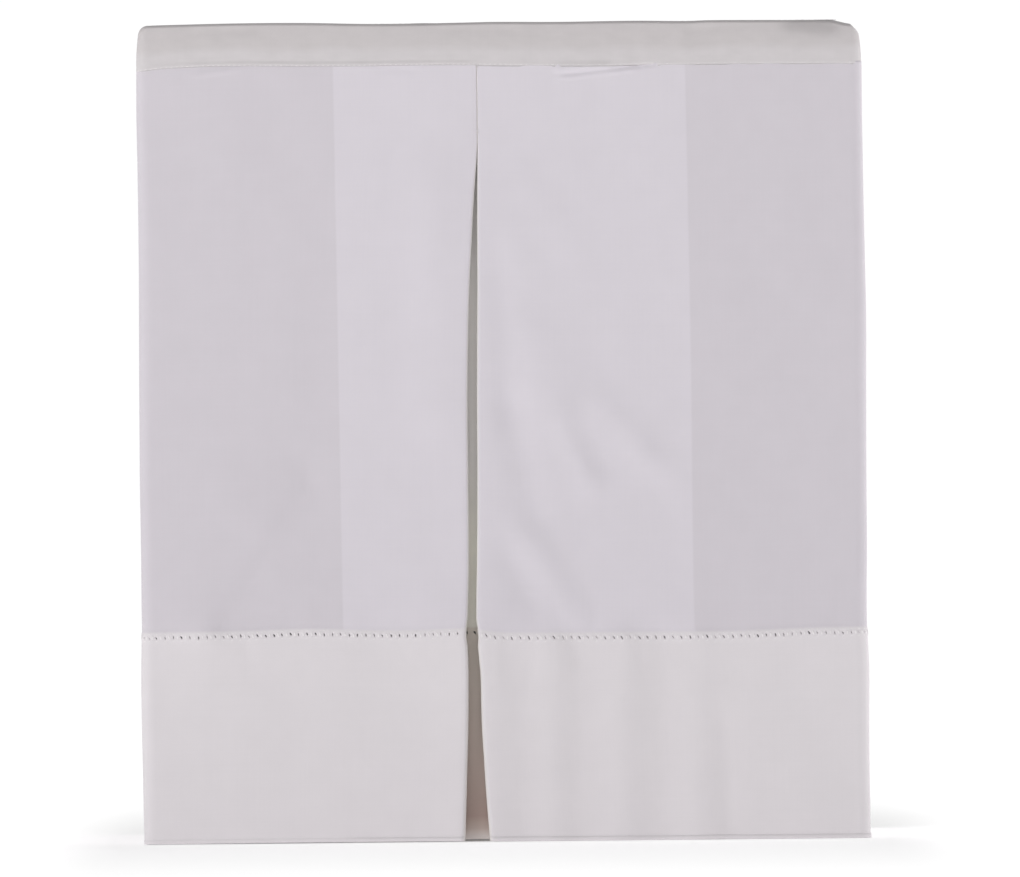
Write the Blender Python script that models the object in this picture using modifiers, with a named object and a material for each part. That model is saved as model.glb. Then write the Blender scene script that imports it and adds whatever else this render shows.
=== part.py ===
"""A hemstitched bed skirt with one inverted pleat, dressed on a plain bed base block.

Metres, +Z up, the front towards -Y. The origin is on the floor under the middle of the whole thing.
Sizes in the tables are millimetres, which is what a tape measure at the sewing table reads.
"""

from collections import namedtuple
from math import atan2, cos, exp, hypot, pi, sin

import bmesh
import bpy
import numpy as np

MM = 0.001

# Overall sizes. Half sizes and planes are those of the middle of the cloth.
HALF_WIDTH = 180.3 * MM
FRONT = -103.0 * MM
BACK = 105.0 * MM
TOP = 408.3 * MM
GAP = 0.3 * MM

# The cloth
CLOTH = 1.0 * MM
HEM_CLOTH = 1.6 * MM
SIDE_HEM = 12.0 * MM
CORNER_RADIUS = 16.0 * MM

# The band, where its left and right ends differ
BAND_TURN_LEFT = 6.5 * MM
BAND_TURN_RIGHT = 9.0 * MM
BAND_LEAN_LEFT = 0.8 * MM
BAND_LEAN_RIGHT = 1.7 * MM
BAND_INSET = 13.5 * MM

# The inverted pleat: where its folds lie across the front, and the lines of its underlay
PLEAT_MIDDLE = -11.0 * MM
RETURN_LEFT = -82.5 * MM
RETURN_RIGHT = 93.0 * MM
UNDERLAY_DEPTH = 4.5 * MM
UNDERLAY_RELIEF = 0.15
UNDERLAY_LINES = {"hem": 0.7 * MM, "stitch": 104.3 * MM, "seam": 387.2 * MM}

# The bed base block
BLOCK_FRONT_ROOM = 10.0 * MM
BLOCK_SIDE_ROOM = 6.0 * MM
BLOCK_ROUNDING = 12.0 * MM
BLOCK_SEGMENTS = 6
DECK_SEGMENTS = 3

# The slit between the two front folds, from the hem up: how far each fold's edge stands from
# the pleat's middle, and the space between the middles of the layers before and behind a return.
SlitRow = namedtuple("SlitRow", "height left right front_space back_space")
SLIT = [
    SlitRow(0, -9.4, 2.9, 4.0, 3.0),
    SlitRow(23, -8.5, 1.2, 3.8, 3.0),
    SlitRow(41, -7.9, 0.2, 3.6, 3.0),
    SlitRow(59, -7.3, -0.7, 3.4, 3.0),
    SlitRow(83, -7.0, -1.1, 3.2, 3.0),
    SlitRow(96, -7.3, -2.2, 3.1, 3.0),
    SlitRow(103, -8.1, -1.9, 3.0, 3.0),
    SlitRow(110, -7.2, -2.9, 3.0, 3.0),
    SlitRow(140, -6.5, -2.5, 2.9, 2.9),
    SlitRow(180, -6.5, -1.9, 2.8, 2.8),
    SlitRow(220, -6.6, -1.8, 2.7, 2.7),
    SlitRow(260, -5.7, -1.3, 2.5, 2.6),
    SlitRow(280, -4.9, -0.9, 2.4, 2.5),
    SlitRow(300, -3.6, -0.8, 2.3, 2.4),
    SlitRow(320, -2.3, -0.5, 2.2, 2.3),
    SlitRow(343, -0.5, 0.1, 2.0, 2.2),
    SlitRow(387, -0.2, 0.2, 1.9, 2.0),
]

# The lines across the front: the hem's edge, the hemstitched row, the seam under the band, and
# how far the band's top edge dips under its highest level.
FrontRow = namedtuple("FrontRow", "across hem stitch seam dip")
FRONT_LINES = [
    FrontRow(-181, 0.8, 103.2, 385.9, 0.9),
    FrontRow(-165, 2.1, 103.3, 387.5, 0.5),
    FrontRow(-130, 2.3, 103.6, 388.3, 0.1),
    FrontRow(-98, 2.1, 104.4, 387.8, 0.6),
    FrontRow(-66, 2.4, 103.4, 387.7, 0.9),
    FrontRow(-44, 1.3, 103.2, 387.9, 0.7),
    FrontRow(-18, 1.0, 103.9, 387.8, 0.5),
    FrontRow(-2, 0.9, 101.8, 387.6, 0.5),
    FrontRow(30, 1.3, 101.4, 387.1, 0.8),
    FrontRow(68, 1.2, 101.3, 386.9, 0.6),
    FrontRow(94, 1.4, 101.2, 387.1, 1.0),
    FrontRow(104, 2.2, 101.2, 387.2, 0.7),
    FrontRow(126, 2.3, 101.6, 387.3, 0.2),
    FrontRow(155, 2.3, 102.6, 387.1, 0.6),
    FrontRow(181, 2.3, 102.9, 386.8, 0.7),
]

# How far the corners and sides swing out at each height
SwayRow = namedtuple("SwayRow", "height out")
SIDE_SWAY = [
    SwayRow(0, 0.4),
    SwayRow(35, 0.1),
    SwayRow(70, 0.3),
    SwayRow(95, 0.0),
    SwayRow(103, -0.6),
    SwayRow(120, -0.3),
    SwayRow(160, 0.1),
    SwayRow(205, 0.4),
    SwayRow(250, 0.6),
    SwayRow(300, 0.2),
    SwayRow(387, 0.0),
]

# Soft folds in the hanging cloth, each along a line on the face it crosses. A rise is a ridge
# towards the viewer, and a negative one is a trough.
FoldRow = namedtuple("FoldRow", "across low_across height low_height spread rise")
FRONT_FOLDS = [
    FoldRow(-92, -147, 192, 106, 7.0, -0.7),
    FoldRow(-116, -170, 186, 98, 13.0, 1.1),
    FoldRow(-60, -78, 230, 108, 22.0, 0.8),
    FoldRow(-17, -24, 250, 60, 9.0, 1.0),
    FoldRow(5, 41, 328, 282, 6.0, 0.8),
    FoldRow(16, 46, 326, 252, 6.0, -0.5),
    FoldRow(2, 30, 262, 150, 9.0, 1.7),
    FoldRow(-2, 6, 250, 160, 6.0, -0.5),
    FoldRow(44, 98, 240, 158, 11.0, 1.3),
    FoldRow(58, 130, 206, 116, 10.0, -0.7),
    FoldRow(8, 28, 152, 112, 7.0, 1.2),
    FoldRow(4, 6, 90, 0, 8.0, -0.6),
    FoldRow(18, 19, 94, 0, 7.0, 1.1),
    FoldRow(38, 40, 98, 0, 8.0, 1.2),
    FoldRow(66, 64, 100, 0, 9.0, -0.6),
    FoldRow(82, 80, 98, 0, 8.0, 1.0),
    FoldRow(101, 106, 70, 0, 5.0, -0.7),
]
SIDE_FOLDS = [
    FoldRow(-58, -66, 330, 0, 11.0, -0.9),
    FoldRow(-22, -16, 240, 0, 9.0, -0.6),
    FoldRow(14, 8, 300, 0, 12.0, -1.1),
    FoldRow(52, 60, 260, 0, 13.0, -0.9),
]

# How many strips each stretch of the cloth is divided into
SIDE_STEPS = 5
CORNER_STEPS = 5
LEFT_STEPS = 17
RIGHT_STEPS = 28
FOLD_STEPS = 6
RETURN_STEPS = 5
UNDERLAY_STEPS = 9
BAND_STEPS = 32
BAND_UPRIGHT_STEPS = 3
BAND_TURN_STEPS = 6

# Rows up the drop, as shares of the hem and of the cloth above the hemstitched row
HEM_ROWS = [0.0, 0.2, 0.4, 0.6, 0.8, 0.97]
UPPER_ROWS = [0.006, 0.035, 0.08, 0.14, 0.2, 0.26, 0.32, 0.38, 0.44]
UPPER_ROWS += [0.5, 0.56, 0.62, 0.68, 0.74, 0.8, 0.87, 0.94, 1.0]


def along_table(rows, key, value, at):
    """A smooth curve through one column of a table, read at one place. The result is in metres."""
    keys = [getattr(row, key) * MM for row in rows]
    values = [getattr(row, value) * MM for row in rows]
    at = min(max(at, keys[0]), keys[-1])
    i = max(k for k in range(len(keys) - 1) if keys[k] <= at)
    slopes = [
        (values[min(k + 1, len(keys) - 1)] - values[max(k - 1, 0)])
        / (keys[min(k + 1, len(keys) - 1)] - keys[max(k - 1, 0)])
        for k in (i, i + 1)
    ]
    step = keys[i + 1] - keys[i]
    t = (at - keys[i]) / step
    return (
        values[i] * (2 * t**3 - 3 * t**2 + 1)
        + values[i + 1] * (3 * t**2 - 2 * t**3)
        + step * slopes[0] * (t**3 - 2 * t**2 + t)
        + step * slopes[1] * (t**3 - t**2)
    )


def fold_relief(folds, across, height):
    """How far the soft folds lift the cloth outwards at one place on its face."""
    lift = 0.0
    for fold in folds:
        start = np.array((fold.across, fold.height)) * MM
        end = np.array((fold.low_across, fold.low_height)) * MM
        run = end - start
        share = float((np.array((across, height)) - start) @ run / (run @ run))
        nearest = start + min(max(share, 0.0), 1.0) * run
        away = hypot(across - nearest[0], height - nearest[1]) / (fold.spread * MM)
        lift += fold.rise * MM * exp(-(away**2))
    return lift


def arc_points(centre, radius, start_angle, turn, steps):
    """The points of an arc about its centre, without its first one."""
    angles = [start_angle + turn * k / steps for k in range(1, steps + 1)]
    return [(centre[0] + radius * cos(angle), centre[1] + radius * sin(angle)) for angle in angles]


def straight_points(start, end, steps):
    """The points from start to end, without the first one."""
    return [
        (start[0] + (end[0] - start[0]) * k / steps, start[1] + (end[1] - start[1]) * k / steps)
        for k in range(1, steps + 1)
    ]


def drop_section(height):
    """The drop cut level at one height: the middle line of the cloth, from left rear to right rear.

    Each point is (across, deep, stretch), where stretch names the part of the cloth it is in.
    """
    thick = HEM_CLOTH if height < along_table(FRONT_LINES, "across", "stitch", 0.0) else CLOTH
    front = along_table(SLIT, "height", "front_space", height) / 2
    back = along_table(SLIT, "height", "back_space", height) / 2
    left = PLEAT_MIDDLE + along_table(SLIT, "height", "left", height) - thick / 2 - front
    right = PLEAT_MIDDLE + along_table(SLIT, "height", "right", height) + thick / 2 + front
    left_return, right_return = RETURN_LEFT + back, RETURN_RIGHT - back
    middle = FRONT + 2 * front
    under = middle + 2 * back
    inner = HALF_WIDTH - CORNER_RADIUS
    turn_in = FRONT + CORNER_RADIUS

    path = [(-HALF_WIDTH, BACK, "side")]

    def add_line(end, steps, stretch):
        points = straight_points(path[-1], end, steps)
        path.extend((across, deep, stretch) for across, deep in points)

    def add_arc(centre, radius, start_angle, turn, steps, stretch):
        points = arc_points(centre, radius, start_angle, turn, steps)
        path.extend((across, deep, stretch) for across, deep in points)

    add_line((-HALF_WIDTH, turn_in), SIDE_STEPS, "side")
    add_arc((-inner, turn_in), CORNER_RADIUS, pi, pi / 2, CORNER_STEPS, "front")
    add_line((left, FRONT), LEFT_STEPS, "front")
    add_arc((left, FRONT + front), front, -pi / 2, pi, FOLD_STEPS, "behind")
    add_line((left_return, middle), RETURN_STEPS, "behind")
    add_arc((left_return, middle + back), back, -pi / 2, -pi, FOLD_STEPS, "behind")
    add_line((right_return, under), UNDERLAY_STEPS, "behind")
    add_arc((right_return, middle + back), back, pi / 2, -pi, FOLD_STEPS, "behind")
    add_line((right, middle), RETURN_STEPS, "behind")
    add_arc((right, FRONT + front), front, pi / 2, pi, FOLD_STEPS, "behind")
    add_line((inner, FRONT), RIGHT_STEPS, "front")
    add_arc((inner, turn_in), CORNER_RADIUS, -pi / 2, pi / 2, CORNER_STEPS, "front")
    add_line((HALF_WIDTH, BACK), SIDE_STEPS, "side")
    return path


def line_height(line, across, behind):
    """The height of a line of the drop, its hem, stitch or seam, on the front or a layer behind it."""
    shown = along_table(FRONT_LINES, "across", line, across)
    return shown + (UNDERLAY_LINES[line] - shown) * behind


def row_height(row, across, behind):
    """The height of one row of the drop's grid, at one place along the cloth."""
    hem = line_height("hem", across, behind)
    stitch = line_height("stitch", across, behind)
    seam = line_height("seam", across, behind)
    if row < len(HEM_ROWS):
        return hem + HEM_ROWS[row] * (stitch - hem)
    return stitch + UPPER_ROWS[row - len(HEM_ROWS)] * (seam - GAP - stitch)


def outward(across, deep):
    """The way the cloth faces at one place: left, right, front, or between them at a corner."""
    turn_in = FRONT + CORNER_RADIUS
    inner = HALF_WIDTH - CORNER_RADIUS
    if deep > turn_in:
        return (1.0 if across > 0 else -1.0, 0.0)
    if abs(across) < inner:
        return (0.0, -1.0)
    angle = atan2(deep - turn_in, abs(across) - inner)
    return (cos(angle) * (1.0 if across > 0 else -1.0), sin(angle))


def drop_point(place_in_section, row):
    """Where one corner of the drop's grid hangs, from its place in the level cut and its row."""
    across, deep, stretch = place_in_section
    behind = min(1.0, (deep - FRONT) / UNDERLAY_DEPTH) if stretch == "behind" else 0.0
    height = row_height(row, across, behind)
    out_x, out_y = outward(across, deep)
    if stretch == "side":
        lift = fold_relief(SIDE_FOLDS, deep, height)
    else:
        kept = 1.0 - (1.0 - UNDERLAY_RELIEF) * behind
        lift = fold_relief(FRONT_FOLDS, across, height) * kept * (1.0 - abs(out_x))
    lift += along_table(SIDE_SWAY, "height", "out", height) * abs(out_x)
    return (across + out_x * lift, deep + out_y * lift, height)


def cloth_material(name, colour, roughness):
    """A matt cloth of one colour."""
    material = bpy.data.materials.new(name)
    material.use_nodes = True
    shader = material.node_tree.nodes["Principled BSDF"]
    shader.inputs["Base Color"].default_value = (*colour, 1.0)
    shader.inputs["Roughness"].default_value = roughness
    shader.inputs["Metallic"].default_value = 0.0
    material.diffuse_color = (*colour, 1.0)
    return material


def grid_object(name, columns, rows, place, material, collection, doubled=None):
    """A grid of cloth, columns by rows, with each corner put where place(column, row) says.

    Where doubled(column, row) is true, the corner belongs to the first vertex group.
    """
    mesh = bpy.data.meshes.new(name)
    shape = bmesh.new()
    bmesh.ops.create_grid(shape, x_segments=columns, y_segments=rows, size=0.5)
    weights = shape.verts.layers.deform.verify()
    for vertex in shape.verts:
        column = round((vertex.co.x + 0.5) * columns)
        row = round((vertex.co.y + 0.5) * rows)
        vertex.co = place(column, row)
        if doubled and doubled(column, row):
            vertex[weights][0] = 1.0
    shape.to_mesh(mesh)
    shape.free()
    mesh.shade_smooth()
    mesh.materials.append(material)
    made = bpy.data.objects.new(name, mesh)
    collection.objects.link(made)
    return made


def make_sheet(cloth, thickness, thin=1.0, group=""):
    """Gives an open surface its thickness, half to each side.

    Outside the vertex group the cloth is only thin times as thick.
    """
    shell = cloth.modifiers.new("thickness", "SOLIDIFY")
    shell.thickness = thickness
    shell.offset = 0.0
    shell.use_even_offset = True
    shell.vertex_group = group
    shell.thickness_vertex_group = thin


def build_drop(material, collection):
    """The hanging cloth: one length, with the inverted pleat folded in it and doubled at its hems."""
    rows = len(HEM_ROWS) + len(UPPER_ROWS) - 1
    cuts = [drop_section(row_height(row, 0.0, 0.0)) for row in range(rows + 1)]
    columns = len(cuts[0]) - 1

    def place(column, row):
        return drop_point(cuts[row][column], row)

    def doubled(column, row):
        in_side_hem = cuts[row][column][1] > BACK - SIDE_HEM
        return row < len(HEM_ROWS) or in_side_hem

    drop = grid_object("drop", columns, rows, place, material, collection, doubled)
    hems = drop.vertex_groups.new(name="hems")
    make_sheet(drop, HEM_CLOTH, CLOTH / HEM_CLOTH, hems.name)
    return drop


def band_path():
    """The line that the band follows round three sides of the block, from left rear to right rear."""
    inner = HALF_WIDTH - CORNER_RADIUS
    turn_in = FRONT + CORNER_RADIUS
    path = [(-HALF_WIDTH, BACK)]
    path += straight_points(path[-1], (-HALF_WIDTH, turn_in), SIDE_STEPS)
    path += arc_points((-inner, turn_in), CORNER_RADIUS, pi, pi / 2, CORNER_STEPS)
    path += straight_points(path[-1], (inner, FRONT), BAND_STEPS)
    path += arc_points((inner, turn_in), CORNER_RADIUS, -pi / 2, pi / 2, CORNER_STEPS)
    path += straight_points(path[-1], (HALF_WIDTH, BACK), SIDE_STEPS)
    return path


def band_profile(across):
    """The band cut across at one place, from its seam up and over the edge, as (inset, height)."""
    seam = along_table(FRONT_LINES, "across", "seam", across)
    to_right = 0.5 + 0.5 * across / HALF_WIDTH
    turn = BAND_TURN_LEFT + (BAND_TURN_RIGHT - BAND_TURN_LEFT) * to_right
    lean = BAND_LEAN_LEFT + (BAND_LEAN_RIGHT - BAND_LEAN_LEFT) * to_right
    dip = along_table(FRONT_LINES, "across", "dip", across)
    profile = []
    for k in range(BAND_UPRIGHT_STEPS + 1):
        share = k / BAND_UPRIGHT_STEPS
        profile.append((lean * share**2, seam + share * (TOP - turn - seam)))
    for k in range(1, BAND_TURN_STEPS + 1):
        angle = pi / 2 * k / BAND_TURN_STEPS
        rise = (turn - dip) * sin(angle)
        profile.append((lean + turn * (1 - cos(angle)), TOP - turn + rise))
    profile.append((BAND_INSET, TOP - dip / 2))
    return profile


def build_band(material, collection):
    """The strip of face cloth that turns over the block's top edge, down to the drop's seam."""
    path = band_path()
    profiles = [band_profile(across) for across, deep in path]

    def place(column, row):
        across, deep = path[column]
        inset, height = profiles[column][row]
        out_x, out_y = outward(across, deep)
        return (across - out_x * inset, deep - out_y * inset, height)

    band = grid_object("top_band", len(path) - 1, len(profiles[0]) - 1, place, material, collection)
    make_sheet(band, CLOTH)
    return band


def rounded_box(name, low, high, rounding, segments, is_rounded, material, collection):
    """A box from its low to its high corner, rounded where is_rounded(one_end, other_end) of an edge."""
    mesh = bpy.data.meshes.new(name)
    shape = bmesh.new()
    bmesh.ops.create_cube(shape, size=1.0)
    for vertex in shape.verts:
        vertex.co = [low[k] if vertex.co[k] < 0 else high[k] for k in range(3)]
    weight = shape.edges.layers.float.new("bevel_weight_edge")
    for edge in shape.edges:
        edge[weight] = float(is_rounded(edge.verts[0].co, edge.verts[1].co))
    shape.to_mesh(mesh)
    shape.free()
    mesh.materials.append(material)
    box = bpy.data.objects.new(name, mesh)
    collection.objects.link(box)
    bevel = box.modifiers.new("rounded edges", "BEVEL")
    bevel.limit_method = "WEIGHT"
    bevel.width = rounding
    bevel.segments = segments
    return box


def build_block(material, collection):
    """The bed base block, rounded everywhere but at its foot. It carries the deck."""
    half = HALF_WIDTH - BLOCK_SIDE_ROOM
    low = (-half, FRONT + BLOCK_FRONT_ROOM, 0.0)
    high = (half, BACK, TOP - CLOTH / 2 - GAP)

    def above_foot(one_end, other_end):
        return max(one_end.z, other_end.z) > 0

    return rounded_box(
        "base_block", low, high, BLOCK_ROUNDING, BLOCK_SEGMENTS, above_foot, material, collection
    )


def build_deck(material, collection):
    """The flat cloth on the block's top, inside the band on three sides and open at the back."""
    inset = BAND_INSET + GAP
    half = HALF_WIDTH - inset
    low = (-half, FRONT + inset, TOP - CLOTH / 2)
    high = (half, BACK, TOP + CLOTH / 2)

    def front_corner(one_end, other_end):
        return one_end.z != other_end.z and one_end.y < 0

    return rounded_box(
        "deck", low, high, CORNER_RADIUS - inset, DECK_SEGMENTS, front_corner, material, collection
    )


def main():
    for old in list(bpy.data.objects):
        bpy.data.objects.remove(old)
    collection = bpy.data.collections.new("bed_skirt")
    bpy.context.scene.collection.children.link(collection)
    face = cloth_material("face_cloth", (0.66, 0.63, 0.66), 0.85)
    platform = cloth_material("deck_cloth", (0.72, 0.71, 0.70), 0.9)
    cover = cloth_material("block_cover", (0.62, 0.60, 0.59), 0.9)
    build_block(cover, collection)
    build_deck(platform, collection)
    build_band(face, collection)
    build_drop(face, collection)


main()
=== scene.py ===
"""The finished surfaces of a hemstitched bed skirt that hangs round a plain bed base block.

Metres, +Z up, the front towards -Y. Tables hold millimetres, as a tape measure would read them.
"""

import logging
from dataclasses import dataclass
from enum import Enum
from math import cos, pi, radians, sin
from typing import NamedTuple

import bmesh
import bpy
import numpy as np
from mathutils import Matrix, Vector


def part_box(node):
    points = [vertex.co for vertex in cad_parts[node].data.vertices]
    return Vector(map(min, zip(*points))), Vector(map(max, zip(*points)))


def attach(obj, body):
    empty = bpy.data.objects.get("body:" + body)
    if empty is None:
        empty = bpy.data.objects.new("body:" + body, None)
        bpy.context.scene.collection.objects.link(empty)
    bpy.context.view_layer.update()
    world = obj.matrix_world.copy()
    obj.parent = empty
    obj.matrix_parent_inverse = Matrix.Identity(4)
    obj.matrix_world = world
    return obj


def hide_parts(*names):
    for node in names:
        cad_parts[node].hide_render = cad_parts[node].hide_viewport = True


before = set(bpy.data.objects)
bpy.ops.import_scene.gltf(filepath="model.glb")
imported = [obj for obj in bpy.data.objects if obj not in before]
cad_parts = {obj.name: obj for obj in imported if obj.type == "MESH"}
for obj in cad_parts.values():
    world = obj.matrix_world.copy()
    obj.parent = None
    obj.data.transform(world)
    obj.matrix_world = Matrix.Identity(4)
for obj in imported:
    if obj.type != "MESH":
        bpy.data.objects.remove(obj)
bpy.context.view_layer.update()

LOG = logging.getLogger("bed_skirt")
MM = 0.001
Points = np.ndarray


class MixPlace:
    """The places of a Mix node's sockets: its share, its two numbers or colours, and the result."""

    SHARE = 0
    FIRST_NUMBER = 2
    SECOND_NUMBER = 3
    NUMBER = 0
    FIRST_COLOUR = 6
    SECOND_COLOUR = 7
    COLOUR = 2


class Layer(Enum):
    """The part of the drop that a stretch of its path belongs to."""

    SIDE = "side panel"
    FRONT = "front"
    BEHIND = "behind the front"


class SlitRow(NamedTuple):
    """The pleat's opening at one height, and the space between its layers (mm)."""

    height: float
    left: float
    right: float
    front_space: float
    back_space: float


class FrontRow(NamedTuple):
    """The heights of the lines across the front at one place, and the band's dip there (mm)."""

    across: float
    hem: float
    stitch: float
    seam: float
    dip: float


class ReturnRow(NamedTuple):
    """Where the pleat's returns turn back behind the front at one height (mm)."""

    height: float
    left: float
    right: float


class SwayRow(NamedTuple):
    """How far each side swings out at one height (mm)."""

    height: float
    left: float
    right: float


class FoldRow(NamedTuple):
    """A soft fold from its upper to its lower end: half its width, and its rise (mm)."""

    across: float
    low_across: float
    height: float
    low_height: float
    spread: float
    rise: float


class SwellRow(NamedTuple):
    """How proud the seam's turned edge stands at one place across the front (mm)."""

    across: float
    proud: float


class RollRow(NamedTuple):
    """A row of the band's turned edge at the seam: how far in it lies and how high (mm).

    Of the seam's swell it also stands out by a share.
    """

    inset: float
    swell_share: float
    height: float


SLIT = [
    SlitRow(0, -9.4, 2.9, 4.0, 3.0),
    SlitRow(23, -8.5, 1.2, 3.8, 3.0),
    SlitRow(41, -7.9, 0.2, 3.6, 3.0),
    SlitRow(59, -7.3, -0.7, 3.4, 3.0),
    SlitRow(83, -7.0, -1.1, 3.2, 3.0),
    SlitRow(96, -7.3, -2.2, 3.1, 3.0),
    SlitRow(103, -8.1, -1.9, 3.0, 3.0),
    SlitRow(110, -7.2, -2.9, 3.0, 3.0),
    SlitRow(140, -6.3, -2.3, 2.9, 2.9),
    SlitRow(180, -6.2, -1.7, 2.8, 2.8),
    SlitRow(220, -6.2, -1.5, 2.7, 2.7),
    SlitRow(260, -5.3, -1.0, 2.5, 2.6),
    SlitRow(280, -4.5, -0.7, 2.4, 2.5),
    SlitRow(300, -3.3, -0.6, 2.3, 2.4),
    SlitRow(320, -2.1, -0.4, 2.2, 2.3),
    SlitRow(336, -0.8, -0.15, 1.7, 1.9),
    SlitRow(345, -0.1, 0.0, 1.2, 1.6),
    SlitRow(354, -0.04, 0.04, 0.9, 1.5),
    SlitRow(387, -0.04, 0.04, 0.9, 1.5),
]
FRONT_LINES = [
    FrontRow(-181, 0.3, 103.2, 385.9, 0.9),
    FrontRow(-165, 0.3, 103.3, 387.5, 0.5),
    FrontRow(-130, 0.4, 103.6, 388.3, 0.0),
    FrontRow(-98, 0.45, 104.4, 387.8, 0.1),
    FrontRow(-66, 0.45, 103.4, 387.7, 0.9),
    FrontRow(-44, 0.45, 103.2, 387.9, 1.0),
    FrontRow(-18, 0.4, 103.9, 387.8, 0.7),
    FrontRow(-2, 0.3, 101.8, 387.6, 0.5),
    FrontRow(30, 0.2, 101.4, 387.1, 0.8),
    FrontRow(68, 0.1, 101.3, 386.9, 0.6),
    FrontRow(94, 0.1, 101.2, 387.1, 1.0),
    FrontRow(104, 0.3, 101.2, 387.2, 0.7),
    FrontRow(126, 0.1, 101.6, 387.3, 0.8),
    FrontRow(155, 0.1, 102.6, 387.1, 1.1),
    FrontRow(166, 0.1, 102.7, 387.0, 1.4),
    FrontRow(174, 0.1, 102.8, 386.9, 3.2),
    FrontRow(181, 0.1, 102.9, 386.8, 2.7),
]
RETURNS = [
    ReturnRow(0, -79.0, 101.0),
    ReturnRow(95, -79.8, 96.5),
    ReturnRow(110, -80.3, 94.8),
    ReturnRow(250, -81.5, 94.3),
    ReturnRow(387, -82.7, 92.8),
]
SIDE_SWAY = [
    SwayRow(0, -0.5, 1.0),
    SwayRow(20, -0.2, 1.0),
    SwayRow(36, 0.0, 0.8),
    SwayRow(60, 0.3, 0.8),
    SwayRow(85, 0.35, 1.0),
    SwayRow(102, 0.0, 0.4),
    SwayRow(120, 0.05, 0.3),
    SwayRow(145, 0.05, 0.7),
    SwayRow(180, 0.3, 0.7),
    SwayRow(225, 0.15, 0.9),
    SwayRow(262, -0.05, 1.3),
    SwayRow(292, -0.2, 1.0),
    SwayRow(330, -0.1, 0.5),
    SwayRow(360, 0.25, 0.3),
    SwayRow(387, 0.1, 0.2),
]
SEAM_SWELL = [
    SwellRow(-182, 0.1),
    SwellRow(-120, 0.45),
    SwellRow(-20, 0.35),
    SwellRow(-10, 0.05),
    SwellRow(40, 0.05),
    SwellRow(70, 0.1),
    SwellRow(100, 0.04),
    SwellRow(182, 0.04),
]
SEAM_ROLL = [
    RollRow(0.3, 0.0, 0.5),
    RollRow(0.0, 0.35, -0.1),
    RollRow(0.0, 1.0, 0.35),
    RollRow(0.0, 0.75, 1.0),
]
MAIN_FOLDS = [
    FoldRow(-126, -150, 160, 112, 24.0, 1.3),
    FoldRow(-106, -150, 176, 110, 10.0, 1.4),
    FoldRow(-97, -140, 178, 110, 6.5, -1.2),
    FoldRow(-60, -78, 230, 108, 22.0, 0.6),
    FoldRow(-34, -32, 330, 215, 13.0, 1.3),
    FoldRow(-10, -12, 290, 105, 34.0, 2.0),
    FoldRow(18, 33, 250, 212, 13.0, 1.1),
    FoldRow(30, 44, 210, 178, 7.0, 1.3),
    FoldRow(47, 72, 221, 192, 8.0, 1.2),
    FoldRow(72, 88, 192, 178, 7.0, 0.7),
    FoldRow(13, 34, 152, 116, 7.0, 1.3),
    FoldRow(11, 34, 332, 300, 6.0, 0.7),
    FoldRow(-1, 4, 288, 215, 8.0, -1.3),
    FoldRow(4, 16, 215, 160, 9.0, -1.5),
    FoldRow(35, 50, 206, 186, 5.0, -0.7),
    FoldRow(0, 14, 146, 118, 8.0, -1.2),
    FoldRow(-10, -7, 98, 0, 24.0, 2.8),
    FoldRow(8, 8, 94, 0, 10.0, -1.5),
    FoldRow(24, 24, 96, 0, 7.0, 0.8),
    FoldRow(39, 39, 96, 0, 8.0, -0.6),
    FoldRow(59, 59, 98, 0, 8.0, 1.4),
    FoldRow(79, 79, 98, 0, 9.0, -1.1),
    FoldRow(97, 97, 98, 0, 8.0, 0.9),
    FoldRow(109, 112, 60, 0, 6.0, -0.8),
]
SEAM_PUCKERS = [
    FoldRow(30, 54, 385.0, 386.2, 2.2, 0.7),
    FoldRow(34, 77, 382.2, 386.8, 0.9, -0.75),
    FoldRow(30, 68, 380.4, 384.4, 1.2, 0.35),
    FoldRow(-130, -150, 386.4, 383.6, 1.6, 0.3),
    FoldRow(-58, -40, 385.6, 384.6, 1.8, -0.2),
]
HEM_PUCKERS = [
    FoldRow(2, 1, 99, 86, 3.0, -0.35),
    FoldRow(15, 14, 99, 84, 3.2, -0.3),
    FoldRow(27, 28, 99, 90, 3.0, 0.3),
    FoldRow(36, 37, 99, 88, 3.0, -0.3),
    FoldRow(56, 55, 99, 86, 3.2, -0.35),
    FoldRow(67, 68, 99, 84, 3.0, -0.3),
    FoldRow(94, 95, 99, 82, 3.4, -0.35),
    FoldRow(-128, -127, 99, 84, 3.4, -0.3),
    FoldRow(-98, -96, 108, 116, 4.0, 0.25),
    FoldRow(44, 47, 106, 118, 4.0, -0.3),
    FoldRow(22, 20, 106, 120, 3.5, 0.3),
]
SIDE_FOLDS = [
    FoldRow(-58, -66, 330, 0, 11.0, -0.9),
    FoldRow(-22, -16, 240, 0, 9.0, -0.6),
    FoldRow(14, 8, 300, 0, 12.0, -1.1),
    FoldRow(52, 60, 260, 0, 13.0, -0.9),
]
BAND_FOLDS = [
    FoldRow(147, 166, 410.0, 408.5, 5.5, -4.0),
    FoldRow(-150, -120, 405.0, 406.5, 3.0, -0.35),
    FoldRow(96, 118, 403.0, 406.5, 3.0, -0.3),
    FoldRow(-30, 8, 405.5, 404.5, 2.6, -0.25),
]


def column(rows: list, name: str) -> Points:
    """One column of a table, in metres."""
    return np.array([getattr(row, name) for row in rows], float) * MM


def grown(at: Points, start: float, run: float) -> Points:
    """A share that is 0 up to a start and grows evenly to 1 over a run."""
    return np.clip((at - start) / run, 0.0, 1.0)


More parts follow.
